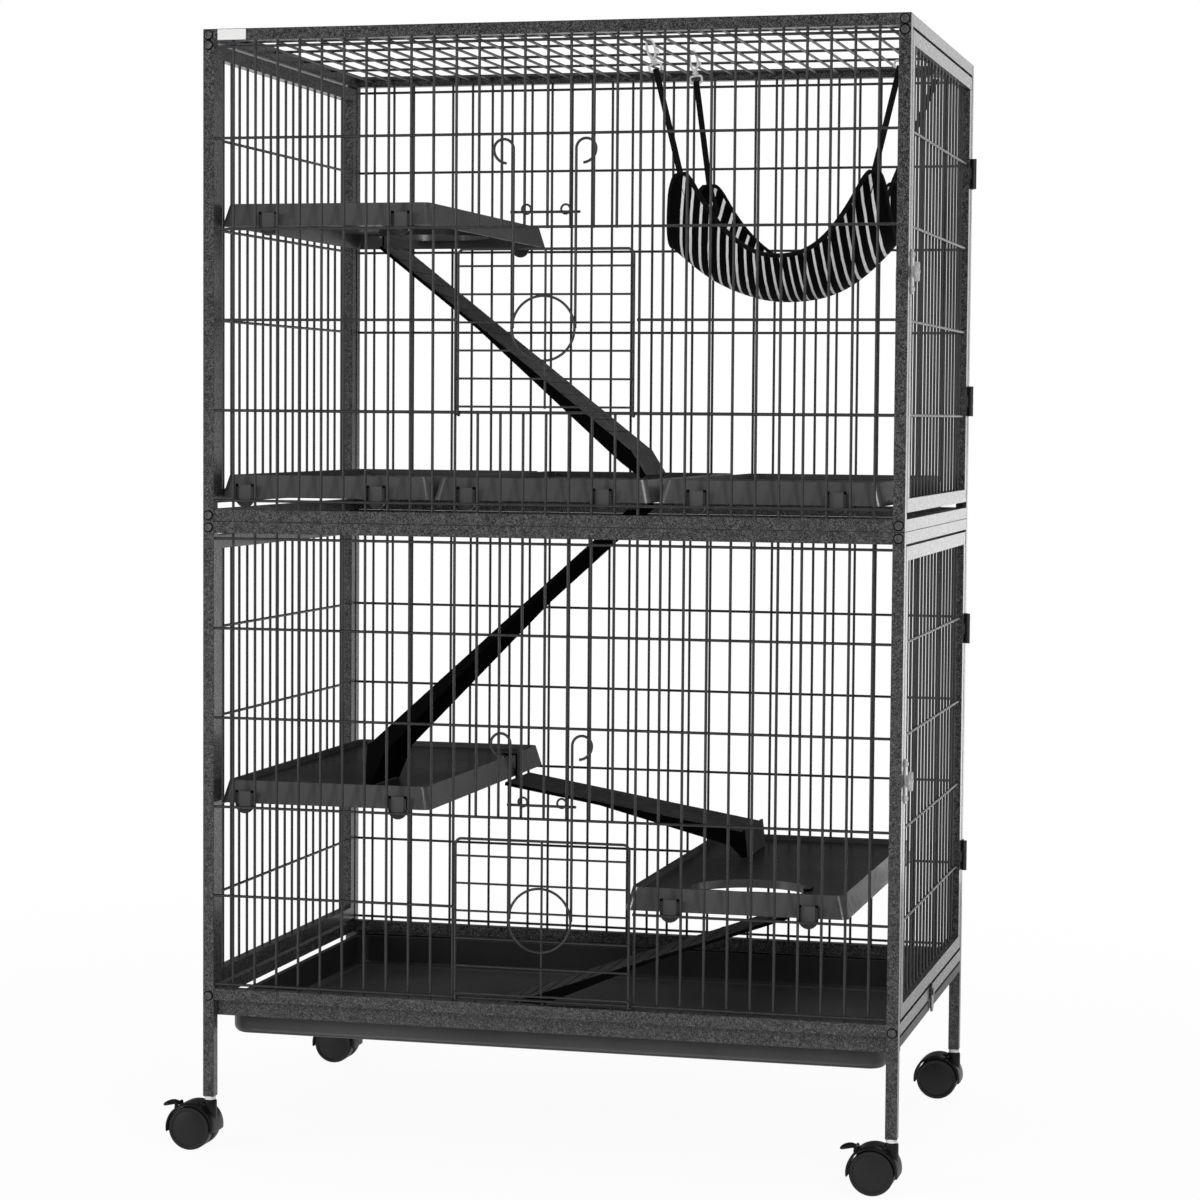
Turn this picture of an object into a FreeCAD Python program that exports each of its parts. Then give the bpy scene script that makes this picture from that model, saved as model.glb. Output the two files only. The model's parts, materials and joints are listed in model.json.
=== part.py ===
import FreeCAD, Part
import Sketcher
import math
import os
import re

# Two-storey rolling cage for small animals: square-tube frame, wire panels,
# two side doors, two front hatches, moulded shelves with ramps, a slide-out
# base tray, a hammock and four swivel casters. Millimetres, +Z up, front at -Y.

Vector = FreeCAD.Vector
doc = FreeCAD.newDocument("SmallAnimalCage")
sheet = doc.addObject("Spreadsheet::Sheet", "Sizes")

SIZES = {
    # frame
    "frame_x": 20.16,
    "frame_width": 790.0,
    "frame_depth": 513.0,
    "tube": 13.0,
    "tube_wall": 1.0,
    "leg_foot": 60.0,
    "low_rail": 170.5,
    "seam_low": 697.0,
    "seam_high": 710.5,
    "top_rail": 1242.5,
    # wire panels
    "wire_radius": 1.55,
    "wire_pitch": 25.8,
    "mesh_y": 250.25,
    "wire_step": 3.12,
    "row_pitch": 100.5,
    "upper_row": 733.5,
    "lower_row": 188.5,
    # framed side panels and doors
    "stile": 15.0,
    "stile_depth": 12.0,
    "door_bottom_upper": 730.5,
    "door_bottom_lower": 187.0,
    "door_height_upper": 509.0,
    "door_height_lower": 507.5,
    "door_front": 241.5,
    "door_rear": 240.0,
    "hinge_x": 398.6,
    "hinge_y": 242.0,
    "barrel_radius": 3.0,
    "pin_radius": 1.5,
    # shelves
    "shelf_width": 247.0,
    "shelf_depth": 484.0,
    "shelf_height": 25.0,
    "shelf_flare": 6.5,
    "shelf_wall": 2.5,
    "shelf_lip": 6.0,
    "hole_radius": 65.5,
    # ramps
    "ramp_width": 110.0,
    "ramp_floor": 2.5,
    "ramp_side": 19.0,
    # base tray
    "tray_left": 373.0,
    "tray_right": 377.0,
    "tray_half": 230.0,
    "tray_bottom": 128.3,
    "tray_rim": 167.5,
    "tray_wall": 2.0,
    # casters
    "wheel_radius": 24.5,
    "trail": 19.0,
    "hood_radius": 28.0,
}

for line, (alias, value) in enumerate(SIZES.items(), start=1):
    sheet.set("A%d" % line, alias)
    sheet.set("B%d" % line, repr(value))
    sheet.setAlias("B%d" % line, alias)
doc.recompute()


def size(alias):
    return float(sheet.get(alias))


def cells(text):
    """Turn the bare names in a formula into references to the sheet."""
    return re.sub(r"[a-z][a-z_]{2,}", lambda word: "Sizes." + word.group(0), text)


def bind(obj, prop, value):
    """Set a property to a number, or tie it to the sheet with a formula."""
    if isinstance(value, str):
        obj.setExpression(prop, cells(value))
    elif prop.startswith("Placement.Base."):
        base = obj.Placement.Base
        setattr(base, prop[-1], value)
        obj.Placement = FreeCAD.Placement(base, obj.Placement.Rotation)
    else:
        setattr(obj, prop, value)


def put(obj, x, y, z):
    for axis, value in zip("xyz", (x, y, z)):
        bind(obj, "Placement.Base." + axis, value)
    return obj


def new(kind, name):
    return doc.addObject(kind, name)


def box(name, length, width, height, x, y, z):
    obj = new("Part::Box", name)
    bind(obj, "Length", length)
    bind(obj, "Width", width)
    bind(obj, "Height", height)
    return put(obj, x, y, z)


TURNS = {
    "X": FreeCAD.Rotation(Vector(0, 1, 0), 90),
    "Y": FreeCAD.Rotation(Vector(1, 0, 0), -90),
    "Z": FreeCAD.Rotation(),
}


def rod(name, axis, radius, length, x, y, z):
    """A cylinder that starts at x, y, z and runs along +axis."""
    obj = new("Part::Cylinder", name)
    bind(obj, "Radius", radius)
    bind(obj, "Height", length)
    obj.Placement = FreeCAD.Placement(Vector(), TURNS[axis])
    return put(obj, x, y, z)


def cut(name, base, tool):
    obj = new("Part::Cut", name)
    obj.Base = base
    obj.Tool = tool
    return obj


def fuse(name, members):
    obj = new("Part::MultiFuse", name)
    obj.Shapes = members
    return obj


def loose(name, members):
    obj = new("Part::Compound", name)
    obj.Links = members
    return obj


NODES = []


def node(obj, label, x="frame_x", y=0.0, z=0.0):
    """Name a finished piece and stand it in the frame of the whole cage."""
    obj.Label = label
    put(obj, x, y, z)
    NODES.append(obj)
    return obj


def tube(name, axis, length, wide, high, x, y, z):
    """A thin-walled tube of rectangular section, open at both ends."""
    outer_size = {"X": (length, wide, high), "Y": (wide, length, high), "Z": (wide, high, length)}[axis]
    outer = box(name + "_outer", *outer_size, x, y, z)
    thin = [s if a == axis else "(%s)-2*tube_wall" % s for s, a in zip(outer_size, "XYZ")]
    inset = [p if a == axis else "(%s)+tube_wall" % p for p, a in zip((x, y, z), "XYZ")]
    inner = box(name + "_bore", *thin, *inset)
    return cut(name, outer, inner)


# corner posts
def posts(label, foot, top):
    members = []
    for i, (x, y) in enumerate((
            ("-frame_width/2", "-frame_depth/2"),
            ("frame_width/2-tube", "-frame_depth/2"),
            ("-frame_width/2", "frame_depth/2-tube"),
            ("frame_width/2-tube", "frame_depth/2-tube"))):
        members.append(tube("%s_%d" % (label, i), "Z", "%s-(%s)" % (top, foot), "tube", "tube", x, y, foot))
    node(loose(label + "_set", members), label)


posts("lower_posts", "leg_foot", "seam_high")
posts("upper_posts", "seam_high", "top_rail+tube")


# the tray tab turns on a rivet through the right bottom rail
TAB_Y = -10.0
TAB_Z = 177.0


# rings of rails between the posts
def ring(label, low, rivet=None):
    span_x = "frame_width-2*tube"
    span_y = "frame_depth-2*tube"
    members = [
        tube(label + "_front", "X", span_x, "tube", "tube", "-frame_width/2+tube", "-frame_depth/2", low),
        tube(label + "_rear", "X", span_x, "tube", "tube", "-frame_width/2+tube", "frame_depth/2-tube", low),
        tube(label + "_left", "Y", span_y, "tube", "tube", "-frame_width/2", "-frame_depth/2+tube", low),
        tube(label + "_right", "Y", span_y, "tube", "tube", "frame_width/2-tube", "-frame_depth/2+tube", low),
    ]
    if rivet:
        members[3] = cut(label + "_drilled", members[3],
                         rod(label + "_rivet_bore", "X", 2.1, 4.0, "frame_width/2-3", *rivet))
    node(loose(label + "_set", members), label)


ring("bottom_rails", "low_rail", (TAB_Y, TAB_Z))
ring("lower_top_rails", "seam_low")
ring("upper_floor_rails", "seam_high")
ring("top_rails", "top_rail")


# round bolt heads on the front and rear faces of the posts
def bolt_heads():
    members = []
    for y, face in (("-frame_depth/2-2", "front"), ("frame_depth/2", "rear")):
        for x, hand in (("-frame_width/2+tube/2", "left"), ("frame_width/2-tube/2", "right")):
            for i, z in enumerate(("low_rail+tube/2-2", "seam_low+tube/2", "seam_high+tube/2",
                                   "top_rail-4.5", "top_rail+tube/2")):
                members.append(rod("bolt_%s_%s_%d" % (face, hand, i), "Y", 4.2, 2.0, x, y, z))
    node(loose("bolt_set", members), "bolt_heads")


bolt_heads()

# plain badge on the front top rail, with nothing on it
node(loose("badge_set", [box("badge_block", 33.0, 0.8, 11.6, -377.5, "-frame_depth/2-0.8", "top_rail+0.7")]),
     "badge_plate")

# welded wire: rows of straight wires padded from a circle and repeated
PLANES = {"X": "YZ_Plane", "Y": "XZ_Plane", "Z": "XY_Plane"}


def origin_item(body, role):
    return [item for item in body.Origin.OriginFeatures if item.Role == role][0]


def centred_circle(sketch, across, along):
    index = sketch.addGeometry(Part.Circle(Vector(1, 1, 0), Vector(0, 0, 1), 1.0), False)
    sketch.addConstraint(Sketcher.Constraint("Radius", index, 1.0))
    sketch.addConstraint(Sketcher.Constraint("DistanceX", -1, 1, index, 3, 1.0))
    sketch.addConstraint(Sketcher.Constraint("DistanceY", -1, 1, index, 3, 1.0))
    for number, (name, formula) in enumerate((("wire", "wire_radius"), ("across", across), ("along", along))):
        sketch.renameConstraint(number, name)
        sketch.setExpression("Constraints." + name, cells(formula))


def wire_row(body, name, axis, start, length, step=None):
    """Wires along axis from start; step is (axis, whole run, count)."""
    sketch = body.newObject("Sketcher::SketchObject", name + "_section")
    sketch.AttachmentSupport = [(origin_item(body, PLANES[axis]), "")]
    sketch.MapMode = "FlatFace"
    x, y, z = start
    across, along, lift = {"X": (y, z, x), "Y": (x, z, "-(%s)" % y), "Z": (x, y, z)}[axis]
    centred_circle(sketch, across, along)
    sketch.setExpression("AttachmentOffset.Base.z", cells(lift))
    pad = body.newObject("PartDesign::Pad", name + "_wire")
    pad.Profile = sketch
    pad.Reversed = axis == "Y"
    pad.setExpression("Length", cells(length))
    body.Tip = pad
    if step:
        doc.recompute()
        row = body.newObject("PartDesign::LinearPattern", name + "_row")
        row.Originals = [pad]
        row.Direction = (origin_item(body, step[0] + "_Axis"), [""])
        row.setExpression("Length", cells(step[1]))
        row.Occurrences = step[2]
        body.Tip = row


def mesh(label, rows):
    body = new("PartDesign::Body", label)
    body.AllowCompound = True
    for number, row in enumerate(rows):
        wire_row(body, "%s_%d" % (label, number), *row)
    doc.recompute()
    return node(body, label)


EDGE = "-14*wire_pitch"
WIDE = "frame_width-2*tube-1"
SIDE = "-frame_width/2+tube+0.5"


def ties(y, low, rails):
    """Short ends of five wires that stand on the rail below and reach the rail above."""
    under, over = rails
    foot = "%s-wire_radius" % low
    head = "%s+5*row_pitch+wire_radius" % low
    return [
        ("Z", ("-14*wire_pitch", y, under), "(%s)-(%s)" % (foot, under), ("X", "28*wire_pitch", 5)),
        ("Z", ("-14*wire_pitch", y, head), "(%s)-(%s)" % (over, head), ("X", "28*wire_pitch", 5)),
    ]


UPPER_RAILS = ("seam_high+tube", "top_rail")
LOWER_RAILS = ("low_rail+tube", "seam_low")


def panel_rows(y, y_row, low, rails, open_from, open_to):
    """Rows of a wire panel; the hatch opening spans rows open_from to open_to."""
    tall = "5*row_pitch+2*wire_radius"
    foot = "%s-wire_radius" % low
    rows = [
        ("Z", (EDGE, y, foot), tall, ("X", "10*wire_pitch", 11)),
        ("Z", ("4*wire_pitch", y, foot), tall, ("X", "10*wire_pitch", 11)),
        ("Z", ("-3*wire_pitch", y, "%s+%d*row_pitch-wire_radius" % (low, open_to)),
         "%d*row_pitch+2*wire_radius" % (5 - open_to), ("X", "6*wire_pitch", 7)),
        ("X", (SIDE, y_row, "%s+%d*row_pitch" % (low, open_to)), WIDE,
         ("Z", "%d*row_pitch" % (5 - open_to), 6 - open_to)),
        ("X", (SIDE, y_row, "%s+%d*row_pitch" % (low, open_from + 1)), "frame_width/2-tube-0.5-4*wire_pitch+wire_radius"),
        ("X", ("4*wire_pitch-wire_radius", y_row, "%s+%d*row_pitch" % (low, open_from + 1)),
         "frame_width/2-tube-0.5-4*wire_pitch+wire_radius"),
    ] + ties(y, low, rails)
    if open_from:
        rows.append(("Z", ("-3*wire_pitch", y, foot), "%d*row_pitch+2*wire_radius" % open_from,
                     ("X", "6*wire_pitch", 7)))
        rows.append(("X", (SIDE, y_row, low), WIDE, ("Z", "%d*row_pitch" % open_from, open_from + 1)))
    else:
        rows.append(("X", (SIDE, y_row, low), WIDE))
    return rows


def plain_rows(y, y_row, low, rails):
    return [
        ("Z", (EDGE, y, "%s-wire_radius" % low), "5*row_pitch+2*wire_radius", ("X", "28*wire_pitch", 29)),
        ("X", (SIDE, y_row, low), WIDE, ("Z", "5*row_pitch", 6)),
    ] + ties(y, low, rails)


mesh("front_upper_mesh", panel_rows("-mesh_y", "-mesh_y-wire_step", "upper_row", UPPER_RAILS, 1, 3))
mesh("front_lower_mesh", panel_rows("-mesh_y", "-mesh_y-wire_step", "lower_row", LOWER_RAILS, 0, 2))
mesh("rear_upper_mesh", plain_rows("mesh_y", "mesh_y+wire_step", "upper_row", UPPER_RAILS))
mesh("rear_lower_mesh", plain_rows("mesh_y", "mesh_y+wire_step", "lower_row", LOWER_RAILS))

# top grid: wires from front to rear, with four long wires and two edge wires on them
mesh("top_mesh", [
    ("Y", (EDGE, "-frame_depth/2+tube+0.5", "top_rail+tube/2"), "frame_depth-2*tube-1", ("X", "28*wire_pitch", 29)),
    ("X", (SIDE, "-161", "top_rail+tube/2+wire_step"), WIDE, ("Y", "3*row_pitch", 4)),
    ("X", (SIDE, "-240", "top_rail+tube/2+wire_step"), WIDE, ("Y", "480", 2)),
])


# side panels: a rectangular tube frame with wires across it
def side_frame(label, x, front, rear, low, high, latch_bore=None):
    wide = "(%s)-(%s)" % (rear, front)
    members = [
        tube(label + "_low", "Y", wide, "stile_depth", "stile", x, front, low),
        tube(label + "_high", "Y", wide, "stile_depth", "stile", x, front, "(%s)+(%s)-stile" % (low, high)),
        tube(label + "_front", "Z", "(%s)-2*stile" % high, "stile_depth", "stile", x, front, "(%s)+stile" % low),
        tube(label + "_rear", "Z", "(%s)-2*stile" % high, "stile_depth", "stile", x, "(%s)-stile" % rear,
             "(%s)+stile" % low),
    ]
    if latch_bore:
        members[2] = cut(label + "_drilled", members[2],
                         rod(label + "_bore", "X", 2.6, 40.0, "(%s)-10" % x, *latch_bore))
    return node(loose(label + "_set", members), label)


def side_mesh(label, x, low, high, row, rows_used):
    top = "(%s)+(%s)-stile" % (low, high)
    return mesh(label, [
        ("Z", (x, "-8*wire_pitch", "(%s)+stile" % low), "(%s)-(%s)-stile" % (top, low),
         ("Y", "16*wire_pitch", 17)),
        ("Y", ("(%s)+wire_step" % x, "-door_front+stile", row), "door_front+door_rear-2*stile",
         ("Z", "%d*row_pitch" % (rows_used - 1), rows_used)),
    ])


UPPER = ("door_bottom_upper", "door_height_upper")
LOWER = ("door_bottom_lower", "door_height_lower")
LATCH_Y = -231.0
LATCH_UPPER = 986.0
LATCH_LOWER = 443.0
LEFT_X = "-frame_width/2"
RIGHT_X = "frame_width/2-stile_depth"
WALL = "frame_depth/2-tube"

side_frame("left_upper_frame", LEFT_X, "-(%s)" % WALL, WALL, *UPPER)
side_frame("left_lower_frame", LEFT_X, "-(%s)" % WALL, WALL, *LOWER)
side_mesh("left_upper_mesh", "-frame_width/2+stile_depth/2-1", *UPPER, "upper_row+row_pitch", 4)
side_mesh("left_lower_mesh", "-frame_width/2+stile_depth/2-1", *LOWER, "lower_row+row_pitch", 4)

side_frame("upper_door_frame", RIGHT_X, "-door_front", "door_rear", *UPPER, (LATCH_Y, LATCH_UPPER))
side_frame("lower_door_frame", RIGHT_X, "-door_front", "door_rear", *LOWER, (LATCH_Y, LATCH_LOWER))
side_mesh("upper_door_mesh", "frame_width/2-stile_depth/2-1", *UPPER, "upper_row+row_pitch", 4)
side_mesh("lower_door_mesh", "frame_width/2-stile_depth/2-1", *LOWER, "lower_row+row_pitch", 4)

# door hinges: fixed leaf with two knuckles and the pin, moving leaf with one knuckle
HINGE_TALL = 36.0
KNUCKLE = 11.8
HINGES = {"upper": (1125.0, 852.0), "lower": (577.0, 300.0)}


def knuckle(name, z, length, bore):
    barrel = rod(name + "_barrel", "Z", "barrel_radius", length, "hinge_x", "hinge_y", z)
    hole = rod(name + "_hole", "Z", bore, length, "hinge_x", "hinge_y", z)
    return cut(name, barrel, hole)


def fixed_hinges():
    members = []
    for door, heights in HINGES.items():
        for i, middle in enumerate(heights):
            name = "hinge_%s_%d" % (door, i)
            foot = middle - HINGE_TALL / 2
            top = middle + HINGE_TALL / 2 - KNUCKLE
            leaf = box(name + "_leaf", 1.2, 11.5, HINGE_TALL, "frame_width/2", "frame_depth/2-tube+1.1", foot)
            pin = rod(name + "_pin", "Z", "pin_radius", HINGE_TALL, "hinge_x", "hinge_y", foot)
            low = rod(name + "_low", "Z", "barrel_radius", KNUCKLE, "hinge_x", "hinge_y", foot)
            high = rod(name + "_high", "Z", "barrel_radius", KNUCKLE, "hinge_x", "hinge_y", top)
            arm_low = box(name + "_arm_low", 1.2, 3.6, KNUCKLE, "hinge_x-2.4", "hinge_y+1.4", foot)
            arm_high = box(name + "_arm_high", 1.2, 3.6, KNUCKLE, "hinge_x-2.4", "hinge_y+1.4", top)
            members.append(fuse(name, [leaf, pin, low, high, arm_low, arm_high]))
    node(loose("fixed_hinge_set", members), "fixed_hinge_leaves")


def door_hinges(door):
    members = []
    for i, middle in enumerate(HINGES[door]):
        name = "%s_door_hinge_%d" % (door, i)
        foot = middle - HINGE_TALL / 2 + KNUCKLE + 0.2
        length = HINGE_TALL - 2 * KNUCKLE - 0.4
        leaf = box(name + "_leaf", 1.2, 14.0, length, "frame_width/2", "door_rear-14.5", foot)
        arm = box(name + "_arm", 1.2, 2.6, length, "frame_width/2", "door_rear-1.5", foot)
        body = fuse(name + "_solid", [leaf, arm, rod(name + "_barrel", "Z", "barrel_radius", length,
                                                     "hinge_x", "hinge_y", foot)])
        members.append(cut(name, body, rod(name + "_bore", "Z", "pin_radius+0.05", length,
                                           "hinge_x", "hinge_y", foot)))
    node(loose("%s_hinge_set" % door, members), "%s_door_hinge_leaves" % door)


fixed_hinges()
door_hinges("upper")
door_hinges("lower")


# turn latches on the front stile of each door
def turn_latch(door, z):
    face = "frame_width/2"
    plate = box(door + "_plate_block", 1.6, 14.0, 48.0, face, LATCH_Y - 7.0, z - 24.0)
    hole = rod(door + "_plate_hole", "X", 2.6, 6.0, face + "-2", LATCH_Y, z)
    node(loose(door + "_plate_set", [cut(door + "_plate", plate, hole)]), door + "_door_latch_plate")
    spindle = rod(door + "_spindle", "X", 2.5, 24.0, face + "-stile_depth-4.5", LATCH_Y, z)
    knob = rod(door + "_knob", "X", 6.5, 6.0, face + "+2", LATCH_Y, z)
    grip = box(door + "_grip", 5.0, 4.0, 20.0, face + "+4", LATCH_Y - 2.0, z - 10.0)
    cam = box(door + "_cam", 2.5, 9.0, 26.0, face + "-stile_depth-4.5", LATCH_Y - 4.5, z - 21.5)
    node(fuse(door + "_latch_solid", [spindle, knob, grip, cam]), door + "_door_latch")


turn_latch("upper", LATCH_UPPER)
turn_latch("lower", LATCH_LOWER)


# bent wires: straight runs joined by tangent arcs, or given arcs
def bent_path(points, bend):
    edges = []
    start = points[0]
    for before, corner, after in zip(points, points[1:], points[2:]):
        to_before = (before - corner).normalize()
        to_after = (after - corner).normalize()
        half = to_before.getAngle(to_after) / 2
        reach = bend / math.tan(half)
        middle = corner + (to_before + to_after).normalize() * (bend / math.sin(half) - bend)
        first = corner + to_before * reach
        last = corner + to_after * reach
        edges.append(Part.LineSegment(start, first).toShape())
        edges.append(Part.Arc(first, middle, last).toShape())
        start = last
    edges.append(Part.LineSegment(start, points[-1]).toShape())
    return Part.Wire(edges)


def swept(path, radius):
    first = path.OrderedEdges[0]
    direction = first.tangentAt(first.FirstParameter)
    start = first.valueAt(first.FirstParameter)
    profile = Part.Wire([Part.Circle(start, direction, radius).toShape()])
    return path.makePipeShell([profile], True, False)


def shaped(name, shape):
    obj = new("Part::Feature", name)
    obj.Shape = shape
    return obj


# front hatches: a bent rod that hooks on the opening's lower wire, cross rods and a latch wire
HATCH_HALF = 98.5
HATCH_TALL = 177.0
ROD = 1.5


def hatch(label, z):
    hinge_y = -size("mesh_y") - size("wire_step")
    reach = size("wire_radius") + ROD + 0.3
    y = hinge_y - reach
    y_rods = y - ROD - 1.25
    top = z + HATCH_TALL
    loop = [Vector(-HATCH_HALF, y, z), Vector(-HATCH_HALF, y, top), Vector(HATCH_HALF, y, top),
            Vector(HATCH_HALF, y, z)]
    members = [shaped(label + "_outline", swept(bent_path(loop, 7.0), ROD))]
    for hand in (-1, 1):
        x = hand * HATCH_HALF
        arc = Part.Arc(Vector(x, y, z), Vector(x, hinge_y, z - reach), Vector(x, hinge_y + reach, z)).toShape()
        members.append(shaped("%s_eye_%d" % (label, hand), swept(Part.Wire([arc]), ROD)))
    for i in range(6):
        members.append(rod("%s_bar_%d" % (label, i), "X", 1.2, 2 * HATCH_HALF, -HATCH_HALF, y_rods, z + 6 + 30.5 * i))
    members.append(rod(label + "_centre", "Z", 1.3, HATCH_TALL - 5.5, 0.0, y + 0.15, z + 4.0))
    node(loose(label + "_set", members), label + "_door")

    y_latch = y_rods - 2.75
    leg = 35.0
    bend_z = z + 284.0
    ring_z = z + 91.0
    parts = []
    for hand in (-1, 1):
        curl = hand * (leg + 11.0)
        edges = [
            Part.LineSegment(Vector(hand * leg, y_latch, ring_z), Vector(hand * leg, y_latch, bend_z)).toShape(),
            Part.Arc(Vector(hand * leg, y_latch, bend_z), Vector(curl, y_latch, bend_z + 11.0),
                     Vector(curl + hand * 11.0, y_latch, bend_z)).toShape(),
            Part.Arc(Vector(curl + hand * 11.0, y_latch, bend_z),
                     Vector(curl + hand * 5.63, y_latch, bend_z - 11.52),
                     Vector(curl - hand * 3.0, y_latch, bend_z - 15.0)).toShape(),
        ]
        parts.append(shaped("%s_leg_%d" % (label, hand), swept(Part.Wire(edges), ROD)))
        parts.append(shaped("%s_loop_%d" % (label, hand),
                            Part.makeTorus(5.0, 1.2, Vector(hand * 22.0, y_latch + 5.8, z + 219.7), Vector(0, 1, 0))))
    parts.append(shaped(label + "_ring", Part.makeTorus(leg, 1.4, Vector(0, y_latch - 3.0, ring_z), Vector(0, 1, 0))))
    parts.append(rod(label + "_crossbar", "X", 1.5, 78.0, -39.0, y_latch + 3.05, z + 216.5))
    node(loose(label + "_latch_set", parts), label + "_latch_wire")


hatch("upper_hatch", size("upper_row") + size("row_pitch"))
hatch("lower_hatch", size("lower_row"))


# moulded shelves: a flared hollow tray turned over, with a lip and four hook tongues
def flared_block(name, width, depth, flare_x, flare_y, height, corner):
    wedge = new("Part::Wedge", name + "_flared")
    half_x, half_y = "(%s)/2" % width, "(%s)/2" % depth
    for prop, formula in (
            ("Xmin", "-" + half_x), ("Xmax", half_x), ("Zmin", "-" + half_y), ("Zmax", half_y),
            ("X2min", "-%s+%s" % (half_x, flare_x)), ("X2max", "%s-%s" % (half_x, flare_x)),
            ("Z2min", "-%s+%s" % (half_y, flare_y)), ("Z2max", "%s-%s" % (half_y, flare_y)),
            ("Ymin", "0*shelf_wall"), ("Ymax", height)):
        bind(wedge, prop, formula)
    wedge.Placement = FreeCAD.Placement(Vector(), FreeCAD.Rotation(Vector(1, 0, 0), 90))
    doc.recompute()
    return rounded(name, wedge, lambda low, high: high.z - low.z > 1.0, corner)


def rounded(name, base, chosen, radius):
    """Round the edges whose lower and upper ends satisfy the test."""
    picks = []
    for number, edge in enumerate(base.Shape.Edges, start=1):
        ends = sorted((vertex.Point for vertex in edge.Vertexes), key=lambda point: point.z)
        if len(ends) == 2 and chosen(*ends):
            picks.append((number, radius, radius))
    obj = new("Part::Fillet", name)
    obj.Base = base
    obj.Edges = picks
    return obj


def shelf_blank():
    outer = flared_block("shelf_outer", "shelf_width", "shelf_depth", "shelf_flare", "shelf_flare",
                         "shelf_height", 9.0)
    inner = flared_block("shelf_hollow", "shelf_width-2*shelf_wall", "shelf_depth-2*shelf_wall",
                         "shelf_flare*0.78", "shelf_flare*0.78", "shelf_height-shelf_lip-shelf_wall", 6.5)
    shell = cut("shelf_shell", outer, inner)
    block = box("shelf_recess_block", "shelf_width-2*shelf_flare-10", "shelf_depth-2*shelf_flare-10", 8.0,
                "-shelf_width/2+shelf_flare+5", "-shelf_depth/2+shelf_flare+5", "shelf_height-shelf_lip")
    doc.recompute()
    recess = rounded("shelf_recess", block, lambda low, high: high.z - low.z > 1.0, 6.0)
    return cut("shelf_dished", shell, recess)


BLANK = shelf_blank()


def tongues(label, places):
    """Hook tongues on the front and rear skirts, at these distances from the shelf's left edge."""
    members = []
    for i, place in enumerate(places):
        for face in (-1, 1):
            name = "%s_tongue_%d_%d" % (label, i, face + 1)
            x = "-shelf_width/2+%s" % (place - 11.0)
            deep = "-shelf_depth/2-4.5" if face < 0 else "shelf_depth/2-2.5"
            skin = "-shelf_depth/2-4.5" if face < 0 else "shelf_depth/2+2"
            members.append(box(name + "_bridge", 22.0, 7.0, 8.0, x, deep, 5.0))
            members.append(box(name + "_strip", 22.0, 2.5, 14.0, x, skin, 0.0))
            members.append(rod(name + "_round", "Y", 11.0, 2.5, x + "+11", skin, 0.0))
    return members


def shelf(label, left, low, places, hole=None):
    members = [BLANK] + tongues(label, places)
    if hole:
        members.append(rod(label + "_collar", "Z", "hole_radius+2.5", "shelf_height-shelf_lip-9.5", *hole, 9.5))
        bore = rod(label + "_hole", "Z", "hole_radius", 60.0, *hole, -10.0)
        piece = cut(label + "_cut", fuse(label + "_collared", members), bore)
    else:
        piece = fuse(label + "_plain", members)
    node(piece, label, "frame_x+shelf_width/2+(%s)" % left, 0.0, low)


shelf("shelf_upper_left", -380.0, 1039.0, (58.0, 212.0), (0.5, 165.0))
shelf("shelf_middle_left", -380.0, 737.0, (31.0, 184.5))
shelf("shelf_middle_centre", -131.5, 737.0, (40.0, 194.0), (43.0, -165.0))
shelf("shelf_middle_right", 123.0, 737.0, (44.0, 197.0))
shelf("shelf_lower_left", -380.0, 393.0, (31.0, 211.0))
shelf("shelf_lower_right", 89.5, 292.0, (52.0, 205.0), (2.0, -168.0))


# ramps: a ribbed board with skirts that deepen towards the foot, and a hook at the high end
RIDGE_PITCH = 24.0
SKIRT = 2.4
HOOK_WIDE = 20.0


def turned(obj, origin, axis, angle):
    obj.Placement = FreeCAD.Placement(origin, FreeCAD.Rotation(axis, angle))
    return obj


def skirt_face(length, foot_length, bend):
    """Side view of a ramp: x along the slope from the high end, z square to it, top face at 0."""
    deep = size("ramp_side")
    turn = math.radians(bend)
    toe = Vector(length + foot_length * math.cos(turn), 0, -foot_length * math.sin(turn))
    heel = toe + Vector(-math.sin(turn), 0, -math.cos(turn)) * 7.0
    corners = [Vector(0, 0, 0), Vector(length, 0, 0), toe, heel,
               Vector(length - deep * math.tan(turn / 2), 0, -deep),
               Vector(0.4 * length, 0, -4.0), Vector(0, 0, -4.0)]
    return Part.Face(Part.makePolygon(corners + corners[:1]))


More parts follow.
